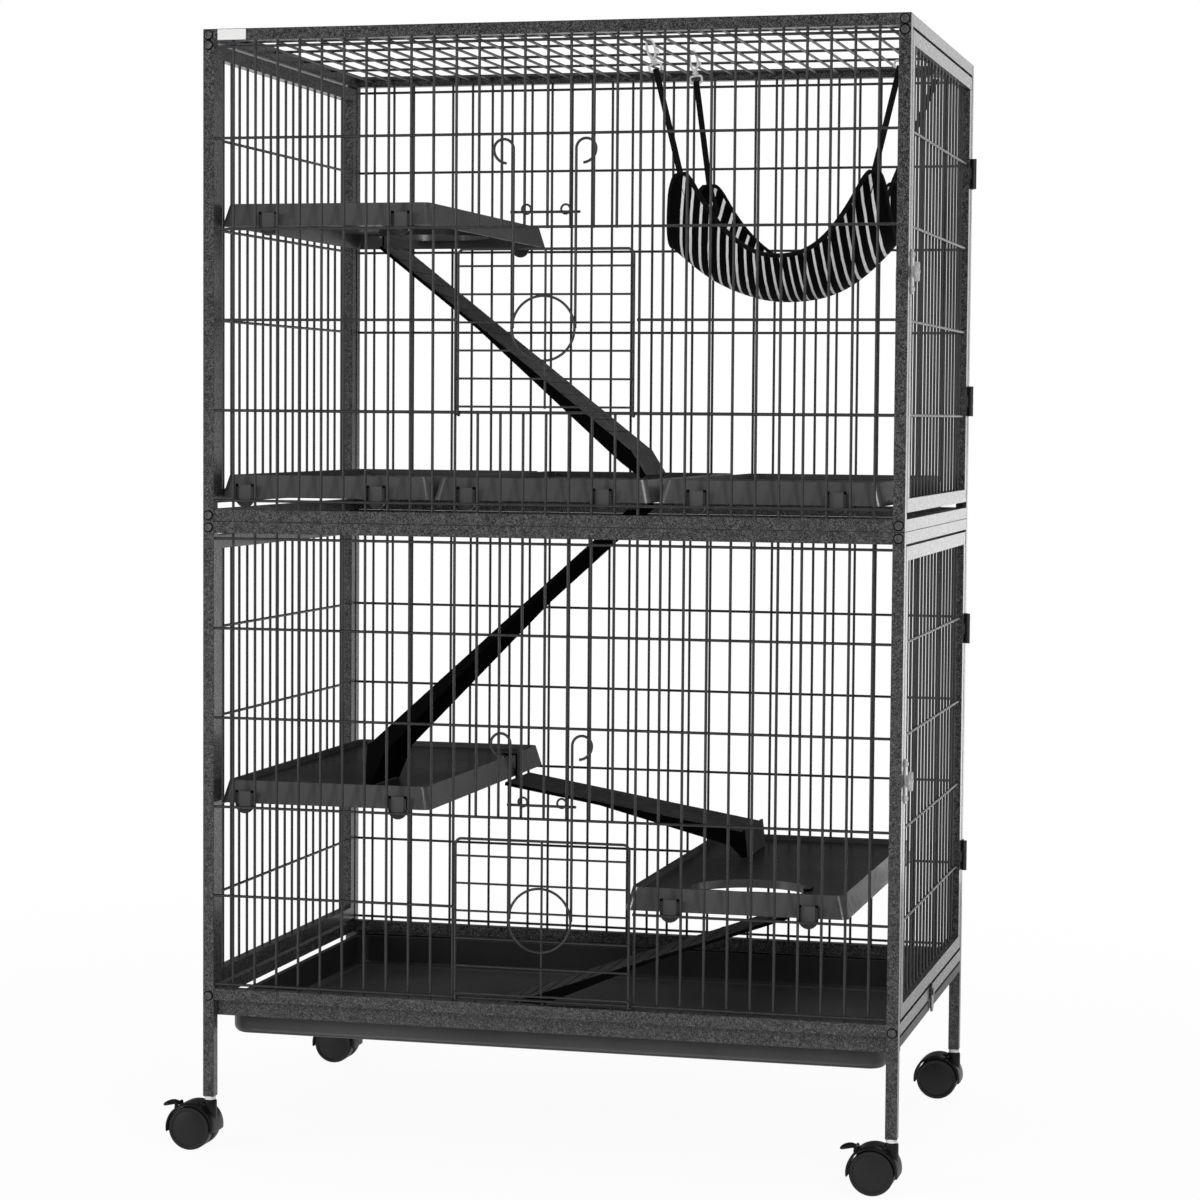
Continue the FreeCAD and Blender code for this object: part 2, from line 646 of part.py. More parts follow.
def ramp(label, high, low, foot, y, hook, grip):
    run = abs(low[0] - high[0])
    drop = high[1] - low[1]
    length = math.hypot(run, drop)
    slope = math.degrees(math.atan2(drop, run))
    foot_length = math.hypot(foot[0] - low[0], foot[1] - low[1])
    bend = math.degrees(math.atan2(low[1] - foot[1], abs(foot[0] - low[0]))) - slope
    level = Vector(0, 1, 0)
    half = size("ramp_width") / 2
    members = [box(label + "_floor", length, "ramp_width", "ramp_floor", 0.0, "-ramp_width/2", "-ramp_floor")]
    for i, edge in enumerate((-half, half - SKIRT)):
        face = skirt_face(length, foot_length, bend).translated(Vector(0, edge, 0))
        members.append(shaped("%s_skirt_%d" % (label, i), face.extrude(Vector(0, SKIRT, 0))))
    for i in range(1, int(length / RIDGE_PITCH)):
        members.append(box("%s_ridge_%d" % (label, i), 3.5, "ramp_width-8", 1.7, i * RIDGE_PITCH,
                           "-ramp_width/2+4", -1.0))
    thick = size("ramp_floor")
    sole = box(label + "_foot", foot_length + 3.0, "ramp_width", "ramp_floor", 0.0, 0.0, 0.0)
    turn = FreeCAD.Rotation(level, bend)
    start = Vector(length, -half, 0) - turn.multVec(Vector(3.0, 0, thick))
    members.append(turned(sole, start, level, bend))
    tilt = FreeCAD.Rotation(level, -slope)
    for i, (along, up, wide, tall) in enumerate(hook(grip - high[1])):
        strip = box("%s_hook_%d" % (label, i), wide, HOOK_WIDE, tall, 0.0, 0.0, 0.0)
        corner = tilt.multVec(Vector(along, 0, up)) + Vector(0, -HOOK_WIDE / 2, 0)
        members.append(turned(strip, corner, level, -slope))
    piece = fuse(label + "_solid", members)
    heading = FreeCAD.Rotation(Vector(0, 0, 1), 0 if low[0] > high[0] else 180)
    piece.Placement = FreeCAD.Placement(Vector(), heading.multiply(FreeCAD.Rotation(level, slope)))
    node(piece, label, "frame_x+(%s)" % high[0], y, high[1])


# strips of each hook, level and upright: start along, start up, length, height
def hole_hook(rise):
    return ((-13.0, -3.0, 16.0, 2.5), (-13.0, -3.0, 2.5, rise + 6.0), (-18.0, rise + 0.5, 7.5, 2.5))


def edge_hook(rise):
    return ((0.0, -3.0, 2.5, rise + 6.0), (-17.0, rise + 0.5, 19.5, 2.5))


ramp("ramp_upper", (-306.0, 1036.0), (10.0, 789.0), (28.0, 760.4), 163.0, hole_hook, 1058.0)
ramp("ramp_middle", (85.5, 730.0), (-213.0, 460.0), (-217.5, 413.2), -165.0, hole_hook, 756.0)
ramp("ramp_lower", (-131.5, 391.0), (163.0, 341.5), (166.0, 312.2), 115.0, edge_hook, 418.0)
ramp("ramp_base", (265.5, 290.0), (-110.0, 155.0), (-119.0, 133.6), -165.0, hole_hook, 311.0)


# base tray, its two runners and the turning tab that keeps it shut
def base_tray():
    def pan(name, inset, low, tall, corner, bottom):
        block = box(name + "_block", "tray_left+tray_right-2*(%s)" % inset, "2*tray_half-2*(%s)" % inset, tall,
                    "-tray_left+(%s)" % inset, "-tray_half+(%s)" % inset, low)
        doc.recompute()
        upright = rounded(name + "_corners", block, lambda a, b: b.z - a.z > 1.0, corner)
        doc.recompute()
        foot = upright.Shape.BoundBox.ZMin
        picks = []
        for number, edge in enumerate(upright.Shape.Edges, start=1):
            if edge.BoundBox.ZMax < foot + 0.01:
                picks.append((number, bottom, bottom))
        obj = new("Part::Fillet", name)
        obj.Base = upright
        obj.Edges = picks
        return obj

    shell = cut("tray_shell", pan("tray_outer", "0*tray_wall", "tray_bottom", "tray_rim-tray_bottom", 20.0, 9.0),
                pan("tray_inner", "tray_wall", "tray_bottom+tray_wall", "tray_rim-tray_bottom+5", 18.0, 7.0))
    plate = box("tray_flange_plate", 773.0, 484.0, "tray_wall", -378.0, -242.0, "tray_rim-tray_wall")
    mouth_block = box("tray_mouth_block", "tray_left+tray_right-2*tray_wall", "2*tray_half-2*tray_wall", 20.0,
                      "-tray_left+tray_wall", "-tray_half+tray_wall", "tray_rim-10")
    doc.recompute()
    mouth = rounded("tray_mouth", mouth_block, lambda a, b: b.z - a.z > 1.0, 18.0)
    members = [
        shell,
        cut("tray_flange", plate, mouth),
        box("tray_hem_front", 773.0, 2.0, 13.0, -378.0, -242.0, "tray_rim-13.8"),
        box("tray_hem_rear", 773.0, 2.0, 13.0, -378.0, 240.0, "tray_rim-13.8"),
        box("tray_lip", 2.0, 484.0, 10.0, 393.0, -242.0, "tray_rim-10"),
    ]
    notch = box("tray_notch", 40.0, 22.0, 30.0, 370.0, TAB_Y - 11.0, 150.0)
    node(cut("tray_solid", fuse("tray_body", members), notch), "base_tray")


def runners():
    members = []
    for face, web, ledge in (("front", -247.0, -247.0), ("rear", 245.8, 232.0)):
        members.append(fuse("runner_" + face, [
            box("runner_web_" + face, 763.0, 1.2, 18.5, -381.5, web, 152.0),
            box("runner_ledge_" + face, 763.0, 15.0, 1.2, -381.5, ledge, 152.0),
            box("runner_roof_" + face, 763.0, 15.0, 1.2, -381.5, ledge, 169.3),
        ]))
    node(loose("runner_set", members), "tray_runners")


def tray_tab():
    outside = "frame_width/2"
    strip = box("tab_strip", 2.0, 18.0, 14.0, outside + "+0.4", TAB_Y - 9.0, TAB_Z - 14.0)
    low = rod("tab_low", "X", 9.0, 2.0, outside + "+0.4", TAB_Y, TAB_Z - 14.0)
    high = rod("tab_high", "X", 9.0, 2.0, outside + "+0.4", TAB_Y, TAB_Z)
    shank = rod("tab_shank", "X", 2.0, 5.0, outside + "-1.6", TAB_Y, TAB_Z)
    head = rod("tab_head", "X", 4.2, 1.6, outside + "+2.2", TAB_Y, TAB_Z)
    node(fuse("tab_solid", [strip, low, high, shank, head]), "tray_tab")


base_tray()
runners()
tray_tab()


# hammock: sagging cloth, four straps and four hooks on the wires of the top grid
# sections from front to rear: y, left end, lowest point, right end (x, z each)
CLOTH = (
    (-140.0, (119.0, 1100.0), (229.0, 1009.0), (338.0, 1100.0)),
    (-92.0, (100.0, 1046.0), (229.0, 976.0), (346.0, 1048.0)),
    (-45.0, (94.0, 1025.0), (228.0, 963.0), (350.0, 1029.0)),
    (2.0, (98.0, 1046.0), (226.0, 976.0), (344.0, 1048.0)),
    (50.0, (112.0, 1100.0), (223.0, 1009.0), (333.0, 1100.0)),
)
CLOTH_THICK = 3.0


def cloth():
    sections = []
    for y, left, low, right in CLOTH:
        top = [Vector(x, y, z) for x, z in (left, low, right)]
        shift = (Vector(-0.8 * CLOTH_THICK, 0, -0.6 * CLOTH_THICK), Vector(0, 0, -CLOTH_THICK),
                 Vector(0.8 * CLOTH_THICK, 0, -0.6 * CLOTH_THICK))
        under = [point + step for point, step in zip(top, shift)]
        sections.append(Part.Wire([
            Part.Arc(*top).toShape(),
            Part.LineSegment(top[2], under[2]).toShape(),
            Part.Arc(*reversed(under)).toShape(),
            Part.LineSegment(under[0], top[0]).toShape(),
        ]))
    node(shaped("cloth", Part.makeLoft(sections, True, False)), "hammock_cloth")


# run of the wire that a hook holds, place of the hook (x, y), and the corner of the cloth below it
HOOKS = (
    ("Y", 77.4, -103.0, Vector(118.0, -138.0, 1101.2)),
    ("X", 95.5, 40.0, Vector(111.0, 48.0, 1101.2)),
    ("Y", 361.2, -66.0, Vector(339.0, -138.0, 1101.2)),
    ("X", 375.0, 140.5, Vector(334.0, 48.0, 1101.2)),
)


def hammock_hangers():
    straps = []
    hooks = []
    down = Vector(0, 0, -1)
    for i, (run, x, y, corner) in enumerate(HOOKS):
        wire_z = size("top_rail") + size("tube") / 2 + (size("wire_step") if run == "X" else 0.0)
        wire = Vector(x, y, wire_z)
        side = Vector(1, 0, 0) if run == "Y" else Vector(0, 1, 0)
        grip = size("wire_radius") + 1.8
        foot = wire + down * 23.0 + side * grip
        edges = [
            Part.Arc(wire - side * grip, wire - down * grip, wire + side * grip).toShape(),
            Part.LineSegment(wire + side * grip, foot).toShape(),
            Part.Arc(foot, foot + down * 5 - side * 5, foot - side * 10).toShape(),
        ]
        hooks.append(shaped("hook_%d" % i, swept(Part.Wire(edges), 1.6)))
        head = foot + down * 7.2 - side * 5
        reach = head - corner
        strap = new("Part::Box", "strap_%d" % i)
        strap.Length = 7.0
        strap.Width = 1.6
        strap.Height = reach.Length - 1.0
        lean = FreeCAD.Rotation(Vector(0, 0, 1), reach)
        strap.Placement = FreeCAD.Placement(corner - lean.multVec(Vector(3.5, 0.8, 0)), lean)
        straps.append(strap)
    node(loose("strap_set", straps), "hammock_straps")
    node(loose("hook_set", hooks), "hammock_hooks")


cloth()
hammock_hangers()


# casters: plug in the leg, swivelling hood, pair of wheels on one axle, brake lever in front
STEM_X = "frame_width/2-tube/2"
STEM_Y = "frame_depth/2-tube/2"
CORNERS = {"front_left": ("-", "-"), "front_right": ("", "-"), "rear_left": ("-", ""), "rear_right": ("", "")}
AXLE_X = "-trail"
AXLE_Z = "wheel_radius"


def leg_plugs():
    members = []
    for name, (sign_x, sign_y) in CORNERS.items():
        x = "%s(%s)" % (sign_x, STEM_X)
        y = "%s(%s)" % (sign_y, STEM_Y)
        side = "(tube-2*tube_wall)"
        insert = box("plug_insert_" + name, side, side, 22.0, "%s-%s/2" % (x, side), "%s-%s/2" % (y, side), "leg_foot")
        collar = rod("plug_collar_" + name, "Z", 6.4, 2.0, x, y, "leg_foot-2")
        bore = rod("plug_bore_" + name, "Z", 4.55, 40.0, x, y, "leg_foot-10")
        members.append(cut("plug_" + name, fuse("plug_solid_" + name, [insert, collar]), bore))
    node(loose("plug_set", members), "leg_plugs")


LEVER_X = "-trail-18.7"
LEVER_Z = "wheel_radius+24.8"


def caster(name, braked):
    sign_x, sign_y = CORNERS[name]
    at = ("frame_x+%s(%s)" % (sign_x, STEM_X), "%s(%s)" % (sign_y, STEM_Y), 0.0)
    outer = rod(name + "_arch", "Y", "hood_radius", 39.0, AXLE_X, -19.5, AXLE_Z)
    inner = rod(name + "_arch_bore", "Y", "hood_radius-2", 39.0, AXLE_X, -19.5, AXLE_Z)
    below = box(name + "_arch_below", 80.0, 60.0, 60.0, "-trail-40", -30.0, "wheel_radius-62")
    arch = cut(name + "_fender", cut(name + "_fender_ring", outer, inner), below)
    members = [
        arch,
        rod(name + "_web", "Y", 20.0, 5.0, AXLE_X, -2.5, AXLE_Z),
        box(name + "_web_block", "trail+5", 5.0, 33.0, AXLE_X, -2.5, 17.0),
        rod(name + "_boss", "Z", 7.5, 9.7, 0.0, 0.0, 46.8),
        rod(name + "_stem", "Z", 4.5, 26.0, 0.0, 0.0, 54.0),
    ]
    if braked:
        for i, y in enumerate((-8.6, 6.0)):
            members.append(box("%s_lug_%d" % (name, i), 5.0, 2.6, 6.5, "%s-2.5" % LEVER_X, y, "%s-4" % LEVER_Z))
    hood = cut(name + "_drilled", fuse(name + "_hood_solid", members),
               rod(name + "_axle_bore", "Y", 3.05, 60.0, AXLE_X, -30.0, AXLE_Z))
    if braked:
        hood = cut(name + "_lug_drilled", hood, rod(name + "_lug_bore", "Y", 1.25, 60.0, LEVER_X, -30.0, LEVER_Z))
    node(hood, "caster_%s_hood" % name, *at)

    discs = []
    for i, y in enumerate((-18.5, 4.0)):
        disc = rod("%s_disc_%d" % (name, i), "Y", "wheel_radius", 14.5, AXLE_X, y, AXLE_Z)
        doc.recompute()
        tyre = new("Part::Fillet", "%s_tyre_%d" % (name, i))
        tyre.Base = disc
        tyre.Edges = [(1, 2.0, 2.0), (3, 2.0, 2.0)]
        discs.append(tyre)
    discs.append(rod(name + "_axle", "Y", 3.0, 36.0, AXLE_X, -18.0, AXLE_Z))
    node(fuse(name + "_wheels_solid", discs), "caster_%s_wheels" % name, *at)
    if braked:
        brake_lever(name, at)


def brake_lever(name, at):
    pivot = Vector(-size("trail") - 18.7, 0, size("wheel_radius") + 24.8)
    droop = FreeCAD.Rotation(Vector(0, 1, 0), 172)
    members = [
        rod(name + "_lever_barrel", "Y", 2.2, 11.0, LEVER_X, -5.5, LEVER_Z),
        rod(name + "_lever_pin", "Y", 1.2, 17.2, LEVER_X, -8.6, LEVER_Z),
    ]
    for part, start, length, half in (("neck", 0.0, 8.0, 5.2), ("pad", 6.0, 12.0, 8.5)):
        plate = box("%s_lever_%s" % (name, part), length, 2 * half, 4.2, 0.0, 0.0, 0.0)
        plate.Placement = FreeCAD.Placement(pivot + droop.multVec(Vector(start, -half, -2.1)), droop)
        members.append(plate)
    node(fuse(name + "_lever_solid", members), "caster_%s_brake" % name, *at)


leg_plugs()
for corner_name in CORNERS:
    caster(corner_name, corner_name.startswith("front"))

# check every object, then write one file per named piece
doc.recompute()
faults = []
for item in doc.Objects:
    if "Invalid" in item.State or "Error" in item.State:
        faults.append("%s: %s" % (item.Name, item.State))
    if hasattr(item, "Shape") and item in NODES:
        if item.Shape.isNull() or not item.Shape.isValid() or not item.Shape.Solids:
            faults.append("%s: bad shape" % item.Label)
if faults:
    raise RuntimeError("; ".join(faults))

os.makedirs("parts", exist_ok=True)
for item in NODES:
    item.Shape.exportStep("parts/%s.step" % item.Label)
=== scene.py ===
import json
import math
import bpy
import bmesh
from mathutils import Matrix, Vector


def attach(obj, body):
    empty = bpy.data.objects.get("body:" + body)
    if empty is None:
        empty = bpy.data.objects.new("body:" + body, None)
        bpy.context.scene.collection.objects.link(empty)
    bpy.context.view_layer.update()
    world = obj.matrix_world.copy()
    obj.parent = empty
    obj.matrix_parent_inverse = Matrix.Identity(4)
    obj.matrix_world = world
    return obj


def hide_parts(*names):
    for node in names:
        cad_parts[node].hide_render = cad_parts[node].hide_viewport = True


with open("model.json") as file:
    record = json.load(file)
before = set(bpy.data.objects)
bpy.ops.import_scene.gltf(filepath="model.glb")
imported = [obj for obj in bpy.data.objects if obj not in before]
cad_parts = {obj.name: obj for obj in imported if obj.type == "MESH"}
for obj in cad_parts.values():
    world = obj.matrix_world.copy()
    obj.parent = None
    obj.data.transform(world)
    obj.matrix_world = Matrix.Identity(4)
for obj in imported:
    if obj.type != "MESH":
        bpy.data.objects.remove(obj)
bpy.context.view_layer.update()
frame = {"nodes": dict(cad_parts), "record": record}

NODES = frame["nodes"]
SLOT = {row["node"]: row["material_slot"] for row in frame["record"]["subparts"]}
MM = 0.001
SHIFT = 0.02016         # the middle of the cage's frame lies this far along +X from the origin, in metres

# places on the frame, in millimetres from its middle and from the floor
POST_X = 388.5
POST_Y = 250.0
POST_FACE = 256.5
PANEL_Y = 250.25
WIRE_PITCH = 25.8
WIRE_RADIUS = 1.55


def at(x, y, z):
    """A point of the cage, given in millimetres from the middle of its frame."""
    return Vector((x * MM + SHIFT, y * MM, z * MM))


def circle(count, start=0.0):
    """Angles evenly spaced round a circle."""
    return [2 * math.pi * k / count + start for k in range(count)]


def squared(value, power):
    """A sine or cosine pushed outwards, so that a round outline turns boxy."""
    return math.copysign(abs(value) ** power, value)


def link(obj):
    bpy.context.scene.collection.objects.link(obj)
    return obj


# materials

class Nodes:
    """Adds and links the nodes of one tree."""

    def __init__(self, tree):
        self.tree = tree

    def add(self, kind, **props):
        node = self.tree.nodes.new(kind)
        for key, value in props.items():
            setattr(node, key, value)
        return node

    def link(self, out, into):
        self.tree.links.new(out, into)


class Paint(Nodes):
    """A node material with one principled shader and helpers to feed it."""

    def __init__(self, name, color, roughness, metallic=0.0, specular=0.5):
        self.mat = bpy.data.materials.new(name)
        self.mat.use_nodes = True
        self.mat.diffuse_color = (*color, 1.0)
        super().__init__(self.mat.node_tree)
        self.shader = self.tree.nodes["Principled BSDF"]
        self.shader.inputs["Base Color"].default_value = (*color, 1.0)
        self.shader.inputs["Roughness"].default_value = roughness
        self.shader.inputs["Metallic"].default_value = metallic
        self.shader.inputs["Specular IOR Level"].default_value = specular
        self.coords = self.add("ShaderNodeTexCoord").outputs["Object"]

    def noise(self, scale, detail=3.0, roughness=0.55, distortion=0.0):
        tex = self.add("ShaderNodeTexNoise")
        tex.inputs["Scale"].default_value = scale
        tex.inputs["Detail"].default_value = detail
        tex.inputs["Roughness"].default_value = roughness
        tex.inputs["Distortion"].default_value = distortion
        self.link(self.coords, tex.inputs["Vector"])
        return tex.outputs["Fac"]

    def cells(self, scale):
        tex = self.add("ShaderNodeTexVoronoi")
        tex.inputs["Scale"].default_value = scale
        self.link(self.coords, tex.inputs["Vector"])
        return tex.outputs["Distance"]

    def ramp(self, fac, stops):
        node = self.add("ShaderNodeValToRGB")
        elements = node.color_ramp.elements
        while len(elements) < len(stops):
            elements.new(0.5)
        for element, (place, color) in zip(elements, stops):
            element.position = place
            element.color = (*color, 1.0)
        self.link(fac, node.inputs["Fac"])
        return node.outputs["Color"]

    def grey(self, fac, stops):
        return self.ramp(fac, [(place, (v, v, v)) for place, v in stops])

    def mix(self, fac, one, two):
        node = self.add("ShaderNodeMix", data_type="RGBA")
        for value, socket in ((fac, node.inputs[0]), (one, node.inputs[6]), (two, node.inputs[7])):
            if hasattr(value, "is_output"):
                self.link(value, socket)
            else:
                socket.default_value = (*value, 1.0)
        return node.outputs[2]

    def math(self, operation, *values):
        node = self.add("ShaderNodeMath", operation=operation)
        for value, socket in zip(values, node.inputs):
            if hasattr(value, "is_output"):
                self.link(value, socket)
            else:
                socket.default_value = value
        return node.outputs[0]

    def color(self, out):
        self.link(out, self.shader.inputs["Base Color"])

    def rough(self, out):
        self.link(out, self.shader.inputs["Roughness"])

    def facing(self, axis):
        """How far the surface faces along an axis of the cage, from -1 to 1."""
        parts = self.add("ShaderNodeSeparateXYZ")
        self.link(self.add("ShaderNodeNewGeometry").outputs["Normal"], parts.inputs[0])
        return parts.outputs[axis]

    def outward(self):
        """Over 0.3 on the outer walls of a piece, below 0 on its inner walls."""
        place = self.add("ShaderNodeSeparateXYZ")
        self.link(self.add("ShaderNodeTexCoord").outputs["Generated"], place.inputs[0])
        shares = [self.math("MULTIPLY", self.math("SUBTRACT", place.outputs[axis], 0.5), self.facing(axis))
                  for axis in (0, 1)]
        return self.math("ADD", *shares)

    def bump(self, height, strength, distance):
        node = self.add("ShaderNodeBump")
        node.inputs["Strength"].default_value = strength
        node.inputs["Distance"].default_value = distance
        self.link(height, node.inputs["Height"])
        if self.shader.inputs["Normal"].is_linked:
            self.link(self.shader.inputs["Normal"].links[0].from_socket, node.inputs["Normal"])
        self.link(node.outputs["Normal"], self.shader.inputs["Normal"])


def hammered(name, dark, mid, light, roughness):
    """Hammered powder coat: fine winding veins and pale specks on charcoal, under a clear skin."""
    p = Paint(name, mid, roughness, specular=0.2)
    drift = p.noise(270.0, detail=1.5, roughness=0.5, distortion=1.4)
    crest = p.math("ABSOLUTE", p.math("SUBTRACT", drift, 0.5))
    veins = p.grey(crest, [(0.0, 1.0), (0.030, 0.45), (0.075, 0.0)])
    specks = p.grey(p.cells(520.0), [(0.05, 1.0), (0.22, 0.0)])
    body = p.mix(veins, p.ramp(p.noise(90.0), [(0.3, dark), (0.7, mid)]), light)
    p.color(p.mix(p.math("MULTIPLY", specks, 0.35), body, light))
    p.rough(p.grey(veins, [(0.0, roughness + 0.1), (1.0, roughness - 0.08)]))
    p.bump(veins, 0.35, 0.0005)
    p.shader.inputs["Coat Weight"].default_value = 0.5
    p.shader.inputs["Coat Roughness"].default_value = 0.2
    p.shader.inputs["Coat IOR"].default_value = 1.5
    return p.mat


def coated_wire(name, dark, light, roughness):
    """Powder coat on wire, with a fine uneven grain."""
    p = Paint(name, dark, roughness)
    grain = p.noise(260.0, detail=2.0)
    p.color(p.ramp(grain, [(0.35, dark), (0.68, light)]))
    p.rough(p.grey(grain, [(0.3, roughness - 0.05), (0.7, roughness + 0.1)]))
    p.bump(grain, 0.15, 0.0002)
    return p.mat


def moulded(name, dark, light, roughness, specular=0.3, grain_scale=900.0, bump=0.12,
            corner_specular=None, painted_level_shade=1.0, painted_outer_light=1.0):
    """Moulded plastic with a fine spark-eroded grain and slow shade changes.

    With corner_specular only the rounded upright corners are rubbed to a gloss. The level factor scales the
    level faces' colour, tops and undersides alike, as painted light and shade; the outer factor paints light
    on the outer walls.
    """
    p = Paint(name, light, roughness, specular=specular)
    slow = p.noise(7.0, detail=3.0)
    grain = p.noise(grain_scale, detail=2.0)

    def tone(shade):
        low, high = (tuple(v * shade for v in color) for color in (dark, light))
        return p.ramp(slow, [(0.3, low), (0.7, high)])

    body = p.mix(p.math("MULTIPLY", grain, 0.35), tone(1.0), dark)
    # painted light and shade: the level faces, tops and undersides, take the colour scaled by the level
    # factor
    if painted_level_shade != 1.0:
        level = p.grey(p.math("ABSOLUTE", p.facing(2)), [(0.6, 0.0), (0.85, 1.0)])
        body = p.mix(level, body, tone(painted_level_shade))
    # painted light: the outer walls take the colour scaled by the outer factor
    if painted_outer_light != 1.0:
        outer = p.grey(p.outward(), [(0.3, 0.0), (0.4, 1.0)])
        body = p.mix(outer, body, tone(painted_outer_light))
    p.color(body)
    p.rough(p.grey(slow, [(0.3, roughness - 0.06), (0.7, roughness + 0.06)]))
    p.bump(grain, bump, 0.0003)
    if corner_specular is not None:
        sides = [p.grey(p.math("ABSOLUTE", p.facing(axis)), [(edge - 0.03, 1.0), (edge + 0.03, 0.0)])
                 for axis, edge in ((0, 0.93), (1, 0.945), (2, 0.6))]
        corner = p.math("MULTIPLY", p.math("MULTIPLY", sides[0], sides[1]), sides[2])
        gloss = p.math("ADD", p.math("MULTIPLY", corner, corner_specular - specular), specular)
        p.link(gloss, p.shader.inputs["Specular IOR Level"])
    return p.mat


def bare_metal(name, dark, light, roughness, metallic):
    """Worn metal with a blotchy grain."""
    p = Paint(name, light, roughness, metallic=metallic)
    grain = p.noise(420.0, detail=4.0, roughness=0.7)
    p.color(p.ramp(grain, [(0.3, dark), (0.7, light)]))
    p.rough(p.grey(grain, [(0.3, roughness + 0.12), (0.7, roughness - 0.05)]))
    p.bump(grain, 0.2, 0.0003)
    return p.mat


STRIPE_PITCH = 0.0118       # metres along the cloth
THREAD_PITCH = 0.0011
HEM_START = 0.135           # the stripes end this far from the middle of the cloth


def striped_cloth(name):
    """Black plain-weave cloth with narrow pale stripes, laid out along the cut of the cloth."""
    p = Paint(name, (0.012, 0.012, 0.013), 0.95, specular=0.04)
    parts = p.add("ShaderNodeSeparateXYZ")
    p.link(p.add("ShaderNodeUVMap", uv_map="cloth").outputs["UV"], parts.inputs[0])
    along, across = parts.outputs[0], parts.outputs[1]
    wander = p.math("MULTIPLY", p.math("SUBTRACT", p.noise(60.0, detail=2.0), 0.5), 0.0012)
    run = p.math("MULTIPLY", p.math("ADD", along, wander), 1.0 / STRIPE_PITCH)
    phase = p.math("FRACT", p.math("ADD", run, 20.5))
    edge = p.math("ABSOLUTE", p.math("SUBTRACT", phase, 0.5))
    inside = p.grey(p.math("ABSOLUTE", along), [(HEM_START - 0.0005, 1.0), (HEM_START + 0.0005, 0.0)])
    stripe = p.math("MULTIPLY", inside, p.grey(edge, [(0.125, 1.0), (0.15, 0.0)]))
    warp, weft = (p.math("SINE", p.math("MULTIPLY", way, 2 * math.pi / THREAD_PITCH))
                  for way in (along, across))
    fuzz = p.noise(1500.0, detail=2.0)
    black = p.ramp(fuzz, [(0.3, (0.0008, 0.0008, 0.0008)), (0.75, (0.0022, 0.0022, 0.0023))])
    white = p.ramp(fuzz, [(0.3, (0.88, 0.88, 0.87)), (0.75, (0.97, 0.97, 0.96))])
    p.color(p.mix(stripe, black, white))
    p.bump(p.math("MULTIPLY", warp, weft), 0.35, 0.0002)
    p.bump(fuzz, 0.2, 0.0002)
    p.shader.inputs["Sheen Weight"].default_value = 0.02
    p.shader.inputs["Sheen Roughness"].default_value = 0.5
    return p.mat


def ribbed_tape(name, dark, light, pitch):
    """Narrow woven tape: fine ribs across and a soft sheen."""
    p = Paint(name, light, 0.85, specular=0.12)
    fuzz = p.noise(1700.0, detail=2.0)
    wave = p.add("ShaderNodeTexWave", wave_type="BANDS", bands_direction="DIAGONAL")
    wave.inputs["Scale"].default_value = 1.0 / pitch / 6.28
    wave.inputs["Distortion"].default_value = 0.6
    p.link(p.coords, wave.inputs["Vector"])
    rib = wave.outputs["Fac"]
    p.color(p.mix(p.math("MULTIPLY", rib, 0.6), p.ramp(fuzz, [(0.3, dark), (0.7, light)]), dark))
    p.bump(rib, 0.5, 0.0003)
    p.shader.inputs["Sheen Weight"].default_value = 0.02
    return p.mat


def scuffed_board_painted_shade(name, axis, edges):
    """Ramp plastic: a paler walking face, rubbed in blotches; the skirts and undersides that axis and edges
    pick are painted near-black as shade.
    """
    p = Paint(name, (0.02, 0.02, 0.021), 0.5, specular=0.0)
    turned = p.math("ABSOLUTE", p.facing(axis)) if axis == 1 else p.facing(axis)
    # painted shade: this mask picks, by which way they face, the faces painted near-black
    painted_shade_mask = p.grey(turned, edges)
    grain = p.noise(700.0, detail=3.0)
    rubs = p.noise(55.0, detail=4.0, roughness=0.65)
    # painted shade: the near-black colour of the faces the mask picks
    side = p.ramp(grain, [(0.3, (0.0025, 0.0025, 0.0027)), (0.7, (0.005, 0.005, 0.0054))])
    face = p.ramp(rubs, [(0.3, (0.056, 0.056, 0.058)), (0.55, (0.076, 0.076, 0.078)),
                         (0.75, (0.102, 0.102, 0.105))])
    p.color(p.mix(painted_shade_mask, face, side))
    p.rough(p.grey(rubs, [(0.3, 0.58), (0.7, 0.44)]))
    p.bump(grain, 0.12, 0.0003)
    return p.mat


